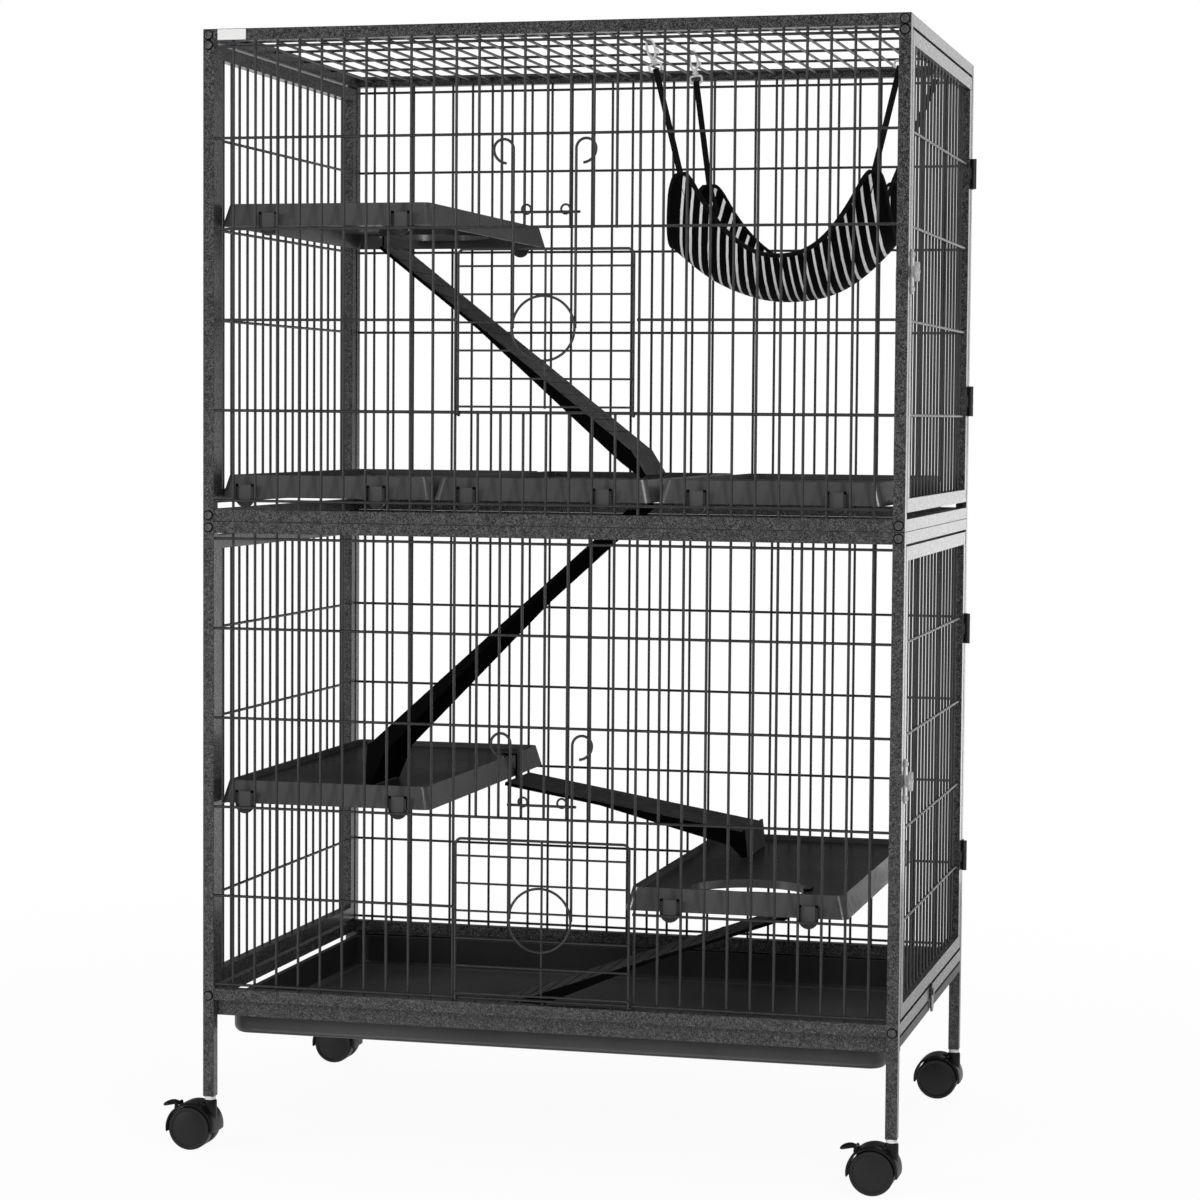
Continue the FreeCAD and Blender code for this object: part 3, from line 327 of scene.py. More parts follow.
MATERIALS = {
    "frame_coating": hammered("frame_coating", (0.004, 0.004, 0.0043), (0.012, 0.0122, 0.0125),
                              (0.125, 0.127, 0.13), 0.45),
    "runner_coating": hammered("runner_coating", (0.004, 0.004, 0.0043), (0.013, 0.0132, 0.0135),
                               (0.12, 0.122, 0.125), 0.48),
    "wire_coating": coated_wire("wire_coating", (0.009, 0.009, 0.0095), (0.022, 0.022, 0.0235), 0.42),
    "hinge_metal": bare_metal("hinge_metal", (0.010, 0.010, 0.011), (0.035, 0.035, 0.036), 0.45, 0.2),
    "latch_metal": bare_metal("latch_metal", (0.42, 0.42, 0.425), (0.66, 0.66, 0.67), 0.38, 0.4),
    "bolt_metal": bare_metal("bolt_metal", (0.05, 0.05, 0.05), (0.13, 0.13, 0.13), 0.35, 0.5),
    "badge_metal": moulded("badge_metal", (0.74, 0.74, 0.73), (0.82, 0.82, 0.81), 0.4, 0.4, 1400.0, 0.04),
    # painted shade: the shelves' tops and undersides are painted at 0.45 of their colour
    "shelf_plastic": moulded("shelf_plastic", (0.062, 0.062, 0.0635), (0.084, 0.084, 0.086), 0.28, 0.02,
                             corner_specular=1.0, painted_level_shade=0.45),
    # painted shade: the ramps' front and rear walls are painted near-black
    "ramp_plastic": scuffed_board_painted_shade("ramp_plastic", 1, [(0.4, 0.0), (0.7, 1.0)]),
    # painted light: the tray's level faces are painted 2.8 times lighter and its outer walls 2.3 times
    # lighter
    "tray_plastic": moulded("tray_plastic", (0.022, 0.022, 0.023), (0.034, 0.034, 0.0355), 0.42, 0.06,
                            corner_specular=0.4, painted_level_shade=2.8, painted_outer_light=2.3),
    "hammock_fabric": striped_cloth("hammock_fabric"),
    "strap_webbing": ribbed_tape("strap_webbing", (0.002, 0.002, 0.002), (0.007, 0.007, 0.0075), 0.0014),
    "hook_plastic": moulded("hook_plastic", (0.72, 0.72, 0.71), (0.80, 0.80, 0.79), 0.25, 0.5),
    "wheel_plastic": moulded("wheel_plastic", (0.009, 0.009, 0.009), (0.016, 0.016, 0.0165), 0.5, 0.25),
    "hood_plastic": moulded("hood_plastic", (0.004, 0.004, 0.004), (0.008, 0.008, 0.0085), 0.42, 0.2),
    "plug_plastic": moulded("plug_plastic", (0.80, 0.80, 0.80), (0.88, 0.88, 0.88), 0.4),
}

# two ramps are painted near-black, as shade, on all but their upper faces
RISING_PAINTED_SHADE = scuffed_board_painted_shade("ramp_plastic_rising_painted_shade", 2, [(0.2, 1.0), (0.5, 0.0)])
RISING_RAMPS = ("ramp_middle", "ramp_base")
# painted shade: near-black for the tongue rims, as the shade along their edges
PAINTED_RIM_SHADE = moulded("moulded_rim_painted_shade", (0.006, 0.006, 0.0063), (0.010, 0.010, 0.0104), 0.36, 0.4)
# painted shade: near-black for pieces that stand for the shade in slots and round bolt heads
PAINTED_GAP_SHADE = moulded("painted_gap_shade", (0.0015, 0.0015, 0.0015), (0.003, 0.003, 0.003), 0.8, 0.03)
BINDING = ribbed_tape("hammock_binding", (0.0015, 0.0015, 0.0015), (0.0045, 0.0045, 0.005), 0.0009)

for name, obj in NODES.items():
    obj.data.materials.clear()
    obj.data.materials.append(RISING_PAINTED_SHADE if name in RISING_RAMPS else MATERIALS[SLOT[name]])


# shapes: each collects corners and faces in cage millimetres

def square_to(axis):
    """A direction at right angles to an axis."""
    guide = Vector((0, 0, 1)) if abs(axis.z) < 0.9 else Vector((1, 0, 0))
    return axis.cross(guide).normalized()


def headings(path, closed=False):
    """The direction of a path at each of its points."""
    count = len(path)
    for i, point in enumerate(path):
        ahead = path[(i + 1) % count] if closed or i + 1 < count else point
        back = path[i - 1] if closed or i > 0 else point
        yield (ahead - back).normalized()


class Shape:
    def __init__(self):
        self.points = []
        self.faces = []

    def ring(self, points):
        start = len(self.points)
        self.points += [Vector(p) for p in points]
        return list(range(start, len(self.points)))

    def bridge(self, one, two, closed=True):
        n = len(one)
        for i in range(n if closed else n - 1):
            j = (i + 1) % n
            self.faces.append((one[i], one[j], two[j], two[i]))

    def loft(self, rings, closed=False):
        """Walls from ring to ring, and either a last wall back to the first ring or a cap at each end."""
        for one, two in zip(rings, rings[1:]):
            self.bridge(one, two)
        if closed:
            self.bridge(rings[-1], rings[0])
        else:
            self.faces += [tuple(rings[0][::-1]), tuple(rings[-1])]

    def tube(self, path, radius, sides=8, closed=False):
        """A round tube along a path; radius is one number, or a list with one for each point."""
        path = [Vector(p) for p in path]
        radii = radius if isinstance(radius, list) else [radius] * len(path)
        rings = []
        across = None
        for point, along, r in zip(path, headings(path, closed), radii):
            if across is None:
                across = square_to(along)
            else:
                across = (across - along * across.dot(along)).normalized()
            normal = along.cross(across)
            rings.append(self.ring([point + across * r * math.cos(turn) + normal * r * math.sin(turn)
                                    for turn in circle(sides)]))
        self.loft(rings, closed)

    def ribbon(self, path, wide, thick, direction):
        """A flat band along a path, given half its width, half its thickness and the way its width lies."""
        path = [Vector(p) for p in path]
        soft = min(wide, thick) * 0.35
        section = [(-wide, -thick + soft), (-wide + soft, -thick), (wide - soft, -thick),
                   (wide, -thick + soft), (wide, thick - soft), (wide - soft, thick),
                   (-wide + soft, thick), (-wide, thick - soft)]
        rings = []
        for point, along in zip(path, headings(path)):
            across = (direction - along * direction.dot(along)).normalized()
            normal = along.cross(across)
            rings.append(self.ring([point + across * x + normal * y for x, y in section]))
        self.loft(rings)

    def lathe(self, profile, origin, axis, sides):
        """A turned form; profile is a list of (radius, distance along axis), closed at both ends."""
        axis = Vector(axis).normalized()
        one = square_to(axis)
        two = axis.cross(one)
        self.loft([self.ring([Vector(origin) + axis * far
                              + (one * math.cos(turn) + two * math.sin(turn)) * max(radius, 0.01)
                              for turn in circle(sides)]) for radius, far in profile])

    def make(self, name, slot, body, smooth, nodes=(), material=None):
        """The finished piece; smooth is the angle in degrees up to which its faces blend."""
        mesh = bpy.data.meshes.new(name)
        mesh.from_pydata([at(*p) for p in self.points], [], self.faces)
        bm = bmesh.new()
        bm.from_mesh(mesh)
        bmesh.ops.recalc_face_normals(bm, faces=bm.faces)
        bm.to_mesh(mesh)
        bm.free()
        mesh.materials.append(material or MATERIALS[slot])
        obj = link(bpy.data.objects.new(name, mesh))
        mesh.polygons.foreach_set("use_smooth", [True] * len(mesh.polygons))
        mesh.set_sharp_from_angle(angle=math.radians(smooth))
        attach(obj, body)
        if nodes:
            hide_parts(*nodes)
        return obj


# hammock: a sling hung by four corners, bound edges, webbing straps and snap hooks

SLING_ROWS = 49
SLING_COLS = 121
SLING_THICK = 2.0
SLING_RUN = 146.0           # cloth from its lowest line to either end
SLING_HALF = 95.0           # half the depth of the cloth
SLING_Y = -45.0             # middle of the cloth
CORNER = (0.20, 0.30)       # rounding of the sling's corners, as shares of its half width and half depth
BINDING_RADIUS = 2.6


def pucker(u, t):
    """Small folds that fan out from the four corners."""
    height = 0.0
    for side in (-1, 1):
        for face in (-1, 1):
            dx = (u - side) * SLING_RUN
            dy = (t - face) * SLING_HALF
            far = math.hypot(dx, dy)
            turn = math.atan2(dy * -face, dx * -side)
            height += 1.5 * math.exp(-far / 42.0) * math.sin(turn * 11.0) * min(1.0, far / 14.0)
    return height


def sling_top(u, t):
    """A point on the sling: u runs from the left end to the right, t from the front edge to the rear.

    The ends draw in and rise towards the corners, and the lowest line rises towards both edges.
    """
    if u < 0:
        end_x, end_z = 94.0 + (22.0 if t < 0 else 17.0) * t * t, 1025.0 + 107.0 * t * t
    else:
        end_x, end_z = 350.0 - (6.0 if t < 0 else 13.0) * t * t, 1029.0 + 103.0 * t * t
    low_x, low_z = 233.0 - 2.5 * t, 963.0 + 46.0 * t * t
    reach = abs(u)
    wave = 0.5 * math.sin(u * 9.0 + t * 2.1) * math.cos(t * 4.0 + u * 1.7)
    return Vector((low_x + (end_x - low_x) * reach, SLING_Y + SLING_HALF * t,
                   low_z + (end_z - low_z) * reach ** 2.2 + pucker(u, t) + wave))


def sling_half(t):
    """Half width of the sling at t, as a share, so that its corners are round."""
    over = (abs(t) - (1.0 - CORNER[1])) / CORNER[1]
    if over <= 0:
        return 1.0
    return 1.0 - CORNER[0] + CORNER[0] * math.sqrt(max(0.0, 1.0 - min(over, 1.0) ** 2))


def rim_of(grid):
    """The rim of a grid of corners, once round."""
    return grid[0] + [row[-1] for row in grid[1:]] + grid[-1][-2::-1] + [row[0] for row in grid[-2:0:-1]]


def sling():
    shape = Shape()
    top, flat = [], []
    for i in range(SLING_ROWS):
        t = math.sin(math.pi / 2 * (2.0 * i / (SLING_ROWS - 1) - 1.0))
        half = sling_half(t)
        us = [half * (2.0 * j / (SLING_COLS - 1) - 1.0) for j in range(SLING_COLS)]
        flat += [(u * SLING_RUN, t * SLING_HALF) for u in us]
        top.append([sling_top(u, t) for u in us])
    under = []
    for i, row in enumerate(top):
        under.append([])
        for j, point in enumerate(row):
            ahead = top[min(i + 1, SLING_ROWS - 1)][j] - top[max(i - 1, 0)][j]
            across = row[min(j + 1, SLING_COLS - 1)] - row[max(j - 1, 0)]
            under[-1].append(point - across.cross(ahead).normalized() * SLING_THICK)
    grid = [shape.ring(row) for row in top]
    below = [shape.ring(row) for row in under]
    for one, two in zip(grid, grid[1:]):
        shape.bridge(one, two, closed=False)
    for one, two in zip(below, below[1:]):
        shape.bridge(two, one, closed=False)
    edge_top, edge_low = rim_of(grid), rim_of(below)
    shape.bridge(edge_low, edge_top)
    cloth = shape.make("hammock_sling", "hammock_fabric", "cage", smooth=75.0, nodes=("hammock_cloth",))
    flat = flat * 2
    layer = cloth.data.uv_layers.new(name="cloth")
    for loop in cloth.data.loops:
        layer.data[loop.index].uv = [v * MM for v in flat[loop.vertex_index]]

    # the binding follows the rim, without the points that crowd together at the corners
    path = [(shape.points[a] + shape.points[b]) / 2 for a, b in zip(edge_top, edge_low)]
    spaced = [path[0]]
    for point in path[1:]:
        if (point - spaced[-1]).length > 1.6:
            spaced.append(point)
    if (spaced[-1] - spaced[0]).length < 1.0:
        spaced.pop()
    binding = Shape()
    binding.tube(spaced, BINDING_RADIUS, sides=10, closed=True)
    piping = binding.make("hammock_binding", "hammock_fabric", "cage", smooth=80.0, material=BINDING)
    return cloth, piping


# where each snap hangs on a wire of the top grid, then the corner of the sling (u, t)
HANGERS = (((77.4, -103.0, 1249.0), -1, -1), ((95.5, 40.0, 1252.1), -1, 1),
           ((361.2, -66.0, 1249.0), 1, -1), ((375.0, 140.5, 1252.1), 1, 1))
# swivel between eye and bar, with two collars: radius and distance from the wire
SWIVEL = ((2.2, 18.2), (3.4, 18.8), (3.4, 20.2), (2.5, 20.8), (2.5, 22.0), (3.7, 22.6), (3.7, 24.2),
          (2.6, 24.8), (2.6, 26.4), (1.4, 26.8))
# end of the strap, folded round the bar: distance from the wire and to the front
FOLD = ((36.5, -0.7), (34.6, -1.9), (33.2, -1.6), (32.4, 0.0), (33.2, 1.6), (34.8, 1.9), (46.0, 1.2))


def hangers():
    webbing = Shape()
    snaps = Shape()
    stitches = Shape()
    for place, side, face in HANGERS:
        corner = sling_top(side * 0.93, face * 0.91)
        wire = Vector(place)
        along = (corner - wire).normalized()
        across = (Vector((1, 0, 0)) - along * along.x).normalized()
        depth = along.cross(across)

        def spot(aside, far, out=0.0):
            return wire + along * far + across * aside + depth * out

        # closed eye over the wire of the grid, a little flatter on the side of the strap
        eye = []
        for turn in circle(28):
            tall = 11.6 * (0.92 if math.sin(turn) > 0 else 1.0)
            eye.append(spot(4.6 * math.cos(turn), 8.2 + tall * math.sin(turn)))
        snaps.tube(eye, 1.35, closed=True)
        # gate lever beside the eye, swivel with collars, and the bar for the strap
        snaps.tube([spot(6.2, 10.0), spot(7.4, 13.0), spot(6.4, 16.5)], [0.9, 1.2, 0.9])
        snaps.lathe(SWIVEL, wire, along, sides=16)
        snaps.tube([spot(7.0 * squared(math.cos(turn), 0.55), 30.4 + 4.2 * squared(math.sin(turn), 0.55))
                    for turn in circle(24)], 1.3, closed=True)
        # strap: from the bar straight to the corner, then sewn along the cloth
        sewn = [sling_top(side * s, face * r) for s, r in ((0.935, 0.915), (0.89, 0.88), (0.83, 0.84))]
        run = [spot(0, 33.0, 0.9), spot(0, 36.0, 0.5)]
        run += [spot(0, 36.0).lerp(sewn[0], k / 12.0) for k in range(1, 13)]
        run += [point + Vector((0, 0, 0.9)) for point in sewn[1:]]
        webbing.ribbon(run, 3.4, 0.65, across)
        webbing.ribbon([spot(0, far, out) for far, out in FOLD], 3.3, 0.6, across)
        for row in (40.0, 44.0):
            stitches.tube([spot(-2.6, row, 2.0), spot(2.6, row, 2.0)], 0.28, sides=6)
    straps = webbing.make("hammock_webbing", "strap_webbing", "cage", smooth=50.0, nodes=("hammock_straps",))
    sewing = stitches.make("hammock_strap_stitches", "strap_webbing", "cage", smooth=80.0)
    snaps.make("hammock_snaps", "hook_plastic", "cage", smooth=60.0, nodes=("hammock_hooks",))
    return straps, sewing


def hammock():
    cloth, piping = sling()
    straps, sewing = hangers()


hammock()

# bolts: domed heads with a six-sided socket, on the posts' front and rear faces, each ringed by a near-black
# ring of painted shade where it meets the post

BOLT_LEVELS = (175.0, 703.5, 717.0, 1238.0, 1249.0)
# radius, height over the post, and whether the ring is six-sided
BOLT_HEAD = ((4.5, 0.0, False), (4.5, 0.7, False), (4.1, 1.5, False), (3.3, 2.0, False), (2.7, 2.0, True),
             (2.5, 0.8, True))


def bolts():
    heads = Shape()
    seat_shades = Shape()
    for face in (-1, 1):
        for x in (-POST_X, POST_X):
            for z in BOLT_LEVELS:
                rings = []
                for radius, out, six_sided in BOLT_HEAD:
                    ring = []
                    for turn in circle(24, 0.26):
                        far = radius
                        if six_sided:
                            far *= math.cos(math.pi / 6) / math.cos(turn % (math.pi / 3) - math.pi / 6)
                        ring.append((x + far * math.cos(turn), face * (POST_FACE + out),
                                     z + far * math.sin(turn)))
                    rings.append(heads.ring(ring))
                heads.loft(rings)
                # painted shade: a thin near-black ring round each head, standing for the shade where head
                # meets post
                seat_shades.tube([(x + 5.0 * math.cos(turn), face * (POST_FACE + 0.1), z + 5.0 * math.sin(turn))
                            for turn in circle(32)], 0.6, sides=6, closed=True)
    heads.make("bolt_caps", "bolt_metal", "cage", smooth=25.0, nodes=("bolt_heads",))
    seat_shades.make("bolt_seat_shades", "bolt_metal", "cage", smooth=60.0, material=PAINTED_GAP_SHADE)


bolts()

# raised rims around the shelves' hook tongues, painted near-black as the shade along their edges, and at each
# end of a rim a near-black strip of painted shade standing for a slot

# left edge of each shelf, its underside, and the places of its tongues along that edge
SHELVES = ((-380.0, 1039.0, (58.0, 212.0)), (-380.0, 737.0, (31.0, 184.5)), (-131.5, 737.0, (40.0, 194.0)),
           (123.0, 737.0, (44.0, 197.0)), (-380.0, 393.0, (31.0, 211.0)), (89.5, 292.0, (52.0, 205.0)))
TONGUE_HALF = 9.2
TONGUE_Y = 246.9


def tongue_rims():
    rims = Shape()
    slot_shades = Shape()
    level = Vector((0, 1, 0))
    for left, low, places in SHELVES:
        for place in places:
            for face in (-1, 1):
                x = left + place
                y = face * TONGUE_Y
                path = [(x - TONGUE_HALF, y, low + 12.2), (x - TONGUE_HALF, y, low + 6.0)]
                for k in range(17):
                    turn = math.pi + math.pi * k / 16
                    path.append((x + TONGUE_HALF * math.cos(turn), y, low + TONGUE_HALF * math.sin(turn)))
                path += [(x + TONGUE_HALF, y, low + 6.0), (x + TONGUE_HALF, y, low + 12.2)]
                rims.ribbon(path, 0.75, 1.5, level)
                # painted shade: a near-black strip stands for the shade in the slot at each end of the rim
                for edge in (x - TONGUE_HALF, x + TONGUE_HALF):
                    slot_shades.ribbon([(edge, y, low + 12.3), (edge, y, low + 15.3)], 0.7, 1.6, level)
    # painted shade: the rims take a near-black material as the shade along their edges
    rims.make("shelf_tongue_rims", "shelf_plastic", "cage", smooth=40.0, material=PAINTED_RIM_SHADE)
    slot_shades.make("shelf_tongue_slot_shades", "shelf_plastic", "cage", smooth=40.0, material=PAINTED_GAP_SHADE)


tongue_rims()

# casters: smooth hood with a straight boss, twin wheels with a raised rim, and a rounded brake pad

TRAIL = 19.0
AXLE_Z = 24.5
LEVER = (-37.7, 49.3)
CASTERS = {"front_left": (-POST_X, -POST_Y), "front_right": (POST_X, -POST_Y),
           "rear_left": (-POST_X, POST_Y), "rear_right": (POST_X, POST_Y)}
# the hood's shell across the wheels: distance to the side and from the axle
HOOD = ((-19.5, 26.0), (-19.5, 26.9), (-19.0, 27.6), (-18.0, 28.1), (-9.0, 28.4), (9.0, 28.4), (18.0, 28.1),
        (19.0, 27.6), (19.5, 26.9), (19.5, 26.0))
# boss and stem, and the collar at the foot of the leg: radius and height
BOSS = ((3.0, 30.5), (5.6, 31.0), (7.0, 32.2), (7.6, 34.0), (7.6, 53.6), (7.3, 54.7), (6.6, 55.2),
        (4.5, 55.2), (4.5, 79.0))
COLLAR = ((5.4, 55.6), (6.1, 55.9), (6.3, 56.4), (6.3, 57.6), (6.0, 58.0))
# saddle that joins the shell to the boss, every four degrees: distance from the axle and half width
SADDLE = ((27.4, 4.0), (28.2, 8.0), (29.4, 9.5), (30.6, 10.0), (31.0, 9.5), (30.6, 8.4), (29.6, 7.0),
          (28.4, 5.0), (27.4, 3.0))
SADDLE_START = 52.0
SADDLE_ROOT = 24.0
# web between the wheels: x from the stem, and z
WEB = ((-TRAIL - 18.0, AXLE_Z), (-TRAIL, 8.0), (-TRAIL + 14.0, 14.0), (5.0, 17.0), (5.0, 44.0),
       (-TRAIL + 8.0, 50.0), (-TRAIL - 10.0, 46.0))
# one wheel: radius and distance from the middle of the caster
WHEEL = ((0.0, 17.9), (18.6, 17.9), (19.4, 17.5), (20.2, 17.6), (20.7, 18.3), (21.3, 18.6), (22.6, 18.6),
         (23.6, 18.2), (24.3, 17.3), (24.5, 16.2), (24.5, 6.0), (24.1, 4.9), (23.2, 4.2), (20.0, 4.0),
         (3.0, 4.0))
# the pad's spine from the root to the tip: x and z from its pivot, half width, half thickness
PAD = ((2.0, -0.6, 2.6, 0.8), (1.0, -0.2, 3.6, 1.6), (-1.0, 0.2, 4.4, 2.1), (-3.6, 0.7, 5.6, 2.4),
       (-6.4, 0.7, 7.4, 2.6), (-9.4, 0.2, 8.5, 2.7), (-12.4, -0.6, 8.4, 2.6), (-15.0, -1.6, 7.2, 2.2),
       (-16.8, -2.5, 5.2, 1.6), (-17.8, -3.2, 2.6, 0.8))


def hood(name, x, y):
    shape = Shape()

    def spot(far, turn, aside):
        return x - TRAIL + far * math.cos(turn), y + aside, AXLE_Z + far * math.sin(turn)

    def slab(face, near, far):
        shape.loft([shape.ring([(x + px, y + side, pz) for px, pz in face]) for side in (near, far)])

    turns = [math.radians(-9.0 + 198.0 * k / 60) for k in range(61)]
    shape.loft([shape.ring([spot(far, turn, aside) for aside, far in HOOD]) for turn in turns])
    shape.lathe(BOSS, (x, y, 0), (0, 0, 1), sides=40)
    saddle = []
    for k, (far, wide) in enumerate(SADDLE):
        lean = math.radians(SADDLE_START + 4.0 * k)
        saddle.append(shape.ring([spot(SADDLE_ROOT, lean, -wide), spot(far, lean, -0.6 * wide),
                                  spot(far, lean, 0.6 * wide), spot(SADDLE_ROOT, lean, wide)]))
    shape.loft(saddle)
    slab(WEB, -2.5, 2.5)
    if name.startswith("front"):
        # two cheeks that hold the brake lever's pin
        turns = [math.pi * k / 12 for k in range(13)]
        cheek = [(1.9 * math.cos(turn), 1.9 * math.sin(turn)) for turn in turns] + [(-2.4, -4.4), (2.4, -4.4)]
        cheek = [(LEVER[0] + px, LEVER[1] + pz) for px, pz in cheek]
        for side in (-1, 1):
            slab(cheek, side * 6.0, side * 8.6)
    shape.make("hood_%s" % name, "hood_plastic", "hood_%s" % name, smooth=38.0,
               nodes=("caster_%s_hood" % name,))


def wheels(name, x, y):
    shape = Shape()
    axle = (x - TRAIL, y, AXLE_Z)
    for side in (-1, 1):
        shape.lathe(WHEEL, axle, (0, side, 0), sides=64)
    shape.lathe([(3.0, -4.2), (3.0, 4.2)], axle, (0, 1, 0), sides=24)
    shape.make("wheels_%s" % name, "wheel_plastic", "wheels_%s" % name, smooth=30.0,
               nodes=("caster_%s_wheels" % name,))


def brake(name, x, y):
    shape = Shape()
    pivot = Vector((x + LEVER[0], y, LEVER[1]))
    spine = [pivot + Vector((px, 0, pz)) for px, pz, wide, thick in PAD]
    rings = []
    for point, along, (px, pz, wide, thick) in zip(spine, headings(spine), PAD):
        up = Vector((0, 1, 0)).cross(along)
        up = up if up.z > 0 else -up
        rings.append(shape.ring([point + Vector((0, squared(math.cos(turn), 0.8) * wide, 0))
                                 + up * squared(math.sin(turn), 0.9) * thick for turn in circle(28)]))
    shape.loft(rings)
    shape.lathe([(1.2, -8.8), (1.2, 8.8)], pivot, (0, 1, 0), sides=16)
    shape.make("brake_pad_%s" % name, "hood_plastic", "brake_%s" % name, smooth=50.0,
               nodes=("caster_%s_brake" % name,))


def casters():
    collars = Shape()
    for name, (x, y) in CASTERS.items():
        hood(name, x, y)
        wheels(name, x, y)
        if name.startswith("front"):
            brake(name, x, y)
        collars.lathe(COLLAR, (x, y, 0), (0, 0, 1), sides=32)
    collars.make("leg_collars", "plug_plastic", "cage", smooth=50.0)


casters()

# ends of the upright wires, between the outer rows of a panel and the rails

WIRE_GAPS = ((1237.4, 1242.5), (723.5, 732.1), (692.4, 697.0), (183.5, 187.1))
TIED = 7                # every seventh upright is tied to the rails already


def wire_ends():
    shape = Shape()
    for low, high in WIRE_GAPS:
        for k in range(-14, 15):
            if k % TIED:
                for y in (-PANEL_Y, PANEL_Y):
                    shape.tube([(WIRE_PITCH * k, y, low), (WIRE_PITCH * k, y, high)], WIRE_RADIUS, sides=10)
    shape.make("wire_ends", "wire_coating", "cage", smooth=60.0)


wire_ends()

# door latches: a long plate with screws on the stile, and a turning knob with a wing, a spindle and a cam

LATCH_X = 395.0
LATCH_Y = -231.0
LATCHES = {"upper": 986.0, "lower": 443.0}
SCREW = ((3.2, 0.0), (3.2, 0.8), (2.6, 1.7), (1.2, 2.1))
WASHER = ((7.0, 0.0), (7.0, 0.5), (6.4, 0.9))
KNOB = ((6.2, 2.1), (6.5, 2.8), (6.5, 5.0), (5.8, 5.8), (4.2, 6.2), (4.0, 7.6), (3.0, 8.6), (1.4, 9.0))
SPINDLE = ((2.5, -16.0), (2.5, 2.4))


def rounded_bar(shape, x0, x1, z, half_y, half_z, soft):
    """A flat bar with round ends in the plane of the door, softened towards its outer face."""
    rings = []
    for out, shrink in ((0.0, 0.0), (0.75, 0.0), (1.0, soft)):
        rings.append(shape.ring([(LATCH_X + x0 + (x1 - x0) * out,
                                  LATCH_Y + (half_y - shrink) * squared(math.cos(turn), 0.6),
                                  z + (half_z - shrink) * squared(math.sin(turn), 0.45))
                                 for turn in circle(32)]))
    shape.loft(rings)


def latches():
    outwards = (1, 0, 0)
    for door, z in LATCHES.items():
        plate = Shape()
        rounded_bar(plate, 0.0, 1.6, z, 5.6, 24.0, 0.5)
        for far in (-18.5, 18.5):
            plate.lathe(SCREW, (LATCH_X + 1.5, LATCH_Y, z + far), outwards, sides=24)
        plate.lathe(WASHER, (LATCH_X + 1.0, LATCH_Y, z), outwards, sides=32)
        plate.make("latch_plate_%s" % door, "latch_metal", "%s_door" % door, smooth=35.0,
                   nodes=("%s_door_latch_plate" % door,))
        knob = Shape()
        knob.lathe(KNOB, (LATCH_X, LATCH_Y, z), outwards, sides=32)
        rounded_bar(knob, 4.0, 8.6, z, 2.3, 10.5, 0.9)
        knob.lathe(SPINDLE, (LATCH_X, LATCH_Y, z), outwards, sides=24)
        rounded_bar(knob, -16.4, -14.0, z - 8.5, 4.5, 13.0, 0.3)
        knob.make("latch_knob_%s" % door, "latch_metal", "%s_latch" % door, smooth=35.0,
                  nodes=("%s_door_latch" % door,))


latches()

# soft edges on the coated tubes and the tray's runners

EDGE_WIDTH = 0.0008
WELD_REACH = 0.00002


def soften():
    for name, obj in NODES.items():
        if SLOT[name] in ("frame_coating", "runner_coating"):
            weld = obj.modifiers.new("weld", "WELD")
            weld.merge_threshold = WELD_REACH
            bevel = obj.modifiers.new("soft_edge", "BEVEL")
            bevel.width = EDGE_WIDTH
            bevel.segments = 2
            bevel.limit_method = "ANGLE"
            bevel.angle_limit = math.radians(50.0)
            bevel.harden_normals = True


soften()

# floor, light and camera

scene = bpy.context.scene
scene.view_settings.view_transform = "Standard"

FLOOR_REACH = 60.0
FLOOR_SHADE = 0.9
SKY_LIGHT = 0.4
# what glossy surfaces see of the sky: in front of the cage, and behind it
MIRROR_FRONT = 0.2
MIRROR_BEHIND = 0.12
# lamps: place, target, width, height and power
LAMPS = {"right_box": ((2.0, -2.6, 2.2), (0.0, -0.1, 0.65), 0.7, 1.9, 40),
         "front_box": ((-3.0, -3.0, 1.5), (0.0, 0.0, 0.6), 1.4, 1.6, 64),
         "top_box": ((0.2, 0.2, 3.4), (0.0, 0.0, 0.6), 1.6, 1.6, 20),
         "rim_strip": ((0.85, 2.0, 0.8), (0.75, 0.0, 0.7), 0.55, 1.9, 6.5)}
EYE = (887.06, -3545.88, 828.84)
YAW, PITCH, ROLL = (math.radians(v) for v in (-14.0565, -3.3286, 0.4296))
LENS = 93.98


class Light(Nodes):
    """Node helpers for the world and the floor."""

    def __init__(self, tree):
        super().__init__(tree)
        tree.nodes.clear()

    def math(self, operation, one, two):
        node = self.add("ShaderNodeMath", operation=operation)
        self.link(one, node.inputs[0])
        self.link(two, node.inputs[1])
        return node.outputs[0]

    def ramp(self, value, low, high, start, end):
        node = self.add("ShaderNodeMapRange")
        for name, number in (("From Min", low), ("From Max", high), ("To Min", start), ("To Max", end)):
            node.inputs[name].default_value = number
        node.clamp = True
        self.link(value, node.inputs["Value"])
        return node.outputs["Result"]

    def mix(self, share, one, two):
        node = self.add("ShaderNodeMixShader")
        self.link(share, node.inputs[0])
        self.link(one, node.inputs[1])
        self.link(two, node.inputs[2])
        return node.outputs[0]

    def glow(self, kind, strength):
        node = self.add(kind)
        node.inputs["Color"].default_value = (1, 1, 1, 1)
        node.inputs["Strength"].default_value = strength
        return node


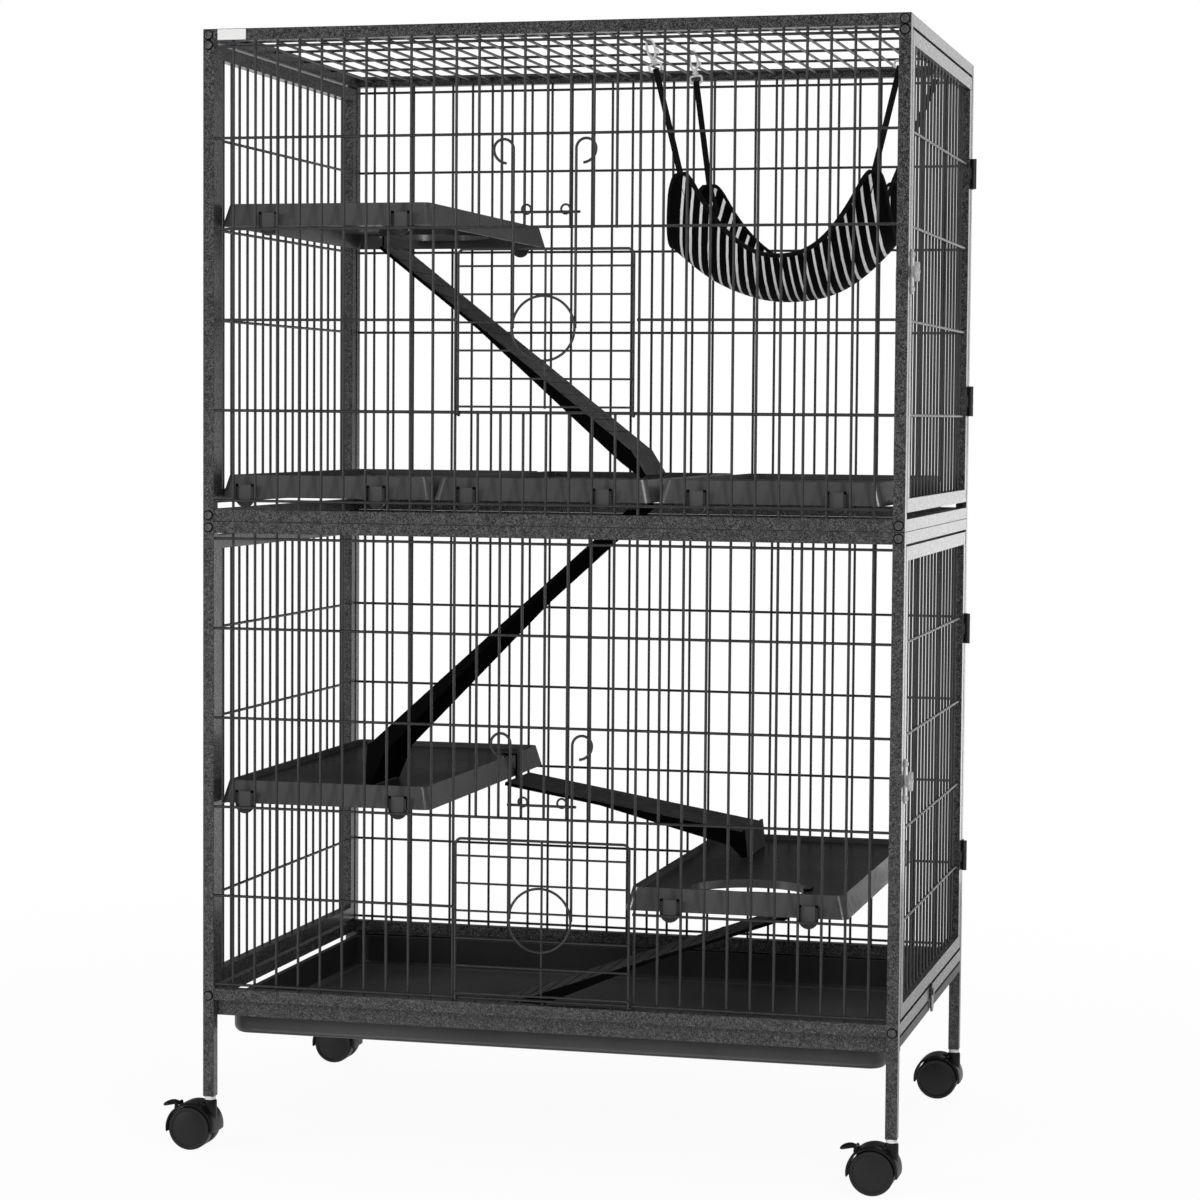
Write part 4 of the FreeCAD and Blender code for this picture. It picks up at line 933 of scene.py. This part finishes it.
def sky():
    """White where the camera and clear pieces see it, softer as a source of light and softest in gloss."""
    world = bpy.data.worlds.new("studio")
    scene.world = world
    world.use_nodes = True
    w = Light(world.node_tree)
    path = w.add("ShaderNodeLightPath")
    parts = w.add("ShaderNodeSeparateXYZ")
    w.link(w.add("ShaderNodeTexCoord").outputs["Generated"], parts.inputs[0])
    soft = w.glow("ShaderNodeBackground", SKY_LIGHT)
    mirror = w.glow("ShaderNodeBackground", 1.0)
    w.link(w.ramp(parts.outputs[1], -0.55, 0.15, MIRROR_FRONT, MIRROR_BEHIND), mirror.inputs["Strength"])
    white = w.glow("ShaderNodeBackground", 1.0)
    lit = w.mix(path.outputs["Is Glossy Ray"], soft.outputs[0], mirror.outputs[0])
    seen = w.math("MAXIMUM", path.outputs["Is Camera Ray"], path.outputs["Is Transmission Ray"])
    out = w.add("ShaderNodeOutputWorld")
    w.link(w.mix(seen, lit, white.outputs[0]), out.inputs["Surface"])


def floor():
    """A plain pale floor that keeps the shadow near the cage and fades into the white behind it."""
    mesh = bpy.data.meshes.new("floor")
    corners = [(x * FLOOR_REACH, y * FLOOR_REACH, 0) for x, y in ((-1, -1), (1, -1), (1, 1), (-1, 1))]
    mesh.from_pydata(corners, [], [(0, 1, 2, 3)])
    ground = link(bpy.data.objects.new("floor", mesh))
    mat = bpy.data.materials.new("floor")
    mat.use_nodes = True
    f = Light(mat.node_tree)
    chalk = f.add("ShaderNodeBsdfDiffuse")
    chalk.inputs["Color"].default_value = (FLOOR_SHADE, FLOOR_SHADE, FLOOR_SHADE, 1)
    white = f.glow("ShaderNodeEmission", 1.0)
    path = f.add("ShaderNodeLightPath")
    seen = f.math("MAXIMUM", path.outputs["Is Camera Ray"],
                  f.math("MAXIMUM", path.outputs["Is Glossy Ray"], path.outputs["Is Transmission Ray"]))
    far = f.add("ShaderNodeVectorMath", operation="LENGTH")
    f.link(f.add("ShaderNodeNewGeometry").outputs["Position"], far.inputs[0])
    share = f.math("MULTIPLY", f.ramp(far.outputs["Value"], 0.4, 2.2, 0.94, 1.0), seen)
    out = f.add("ShaderNodeOutputMaterial")
    f.link(f.mix(share, chalk.outputs[0], white.outputs[0]), out.inputs["Surface"])
    mesh.materials.append(mat)


def lamp(name, place, target, wide, tall, power):
    light = bpy.data.lights.new(name, "AREA")
    light.shape = "RECTANGLE"
    light.size = wide
    light.size_y = tall
    light.energy = power
    obj = link(bpy.data.objects.new(name, light))
    obj.location = place
    obj.rotation_euler = (Vector(target) - Vector(place)).to_track_quat("-Z", "Y").to_euler()
    obj.visible_camera = False


def camera():
    ahead = Vector((math.sin(YAW) * math.cos(PITCH), math.cos(YAW) * math.cos(PITCH), math.sin(PITCH)))
    across = Vector((math.cos(YAW), -math.sin(YAW), 0.0))
    above = across.cross(ahead)
    right = math.cos(ROLL) * across + math.sin(ROLL) * above
    up = -math.sin(ROLL) * across + math.cos(ROLL) * above
    lens = bpy.data.cameras.new("camera")
    lens.sensor_fit = "HORIZONTAL"
    lens.sensor_width = 36.0
    lens.lens = LENS
    lens.clip_end = 200.0
    eye = link(bpy.data.objects.new("camera", lens))
    turn = Matrix((right, up, -ahead)).transposed().to_4x4()
    eye.matrix_world = Matrix.Translation(at(*EYE)) @ turn
    scene.camera = eye


sky()
floor()
for name, values in LAMPS.items():
    lamp(name, *values)
camera()
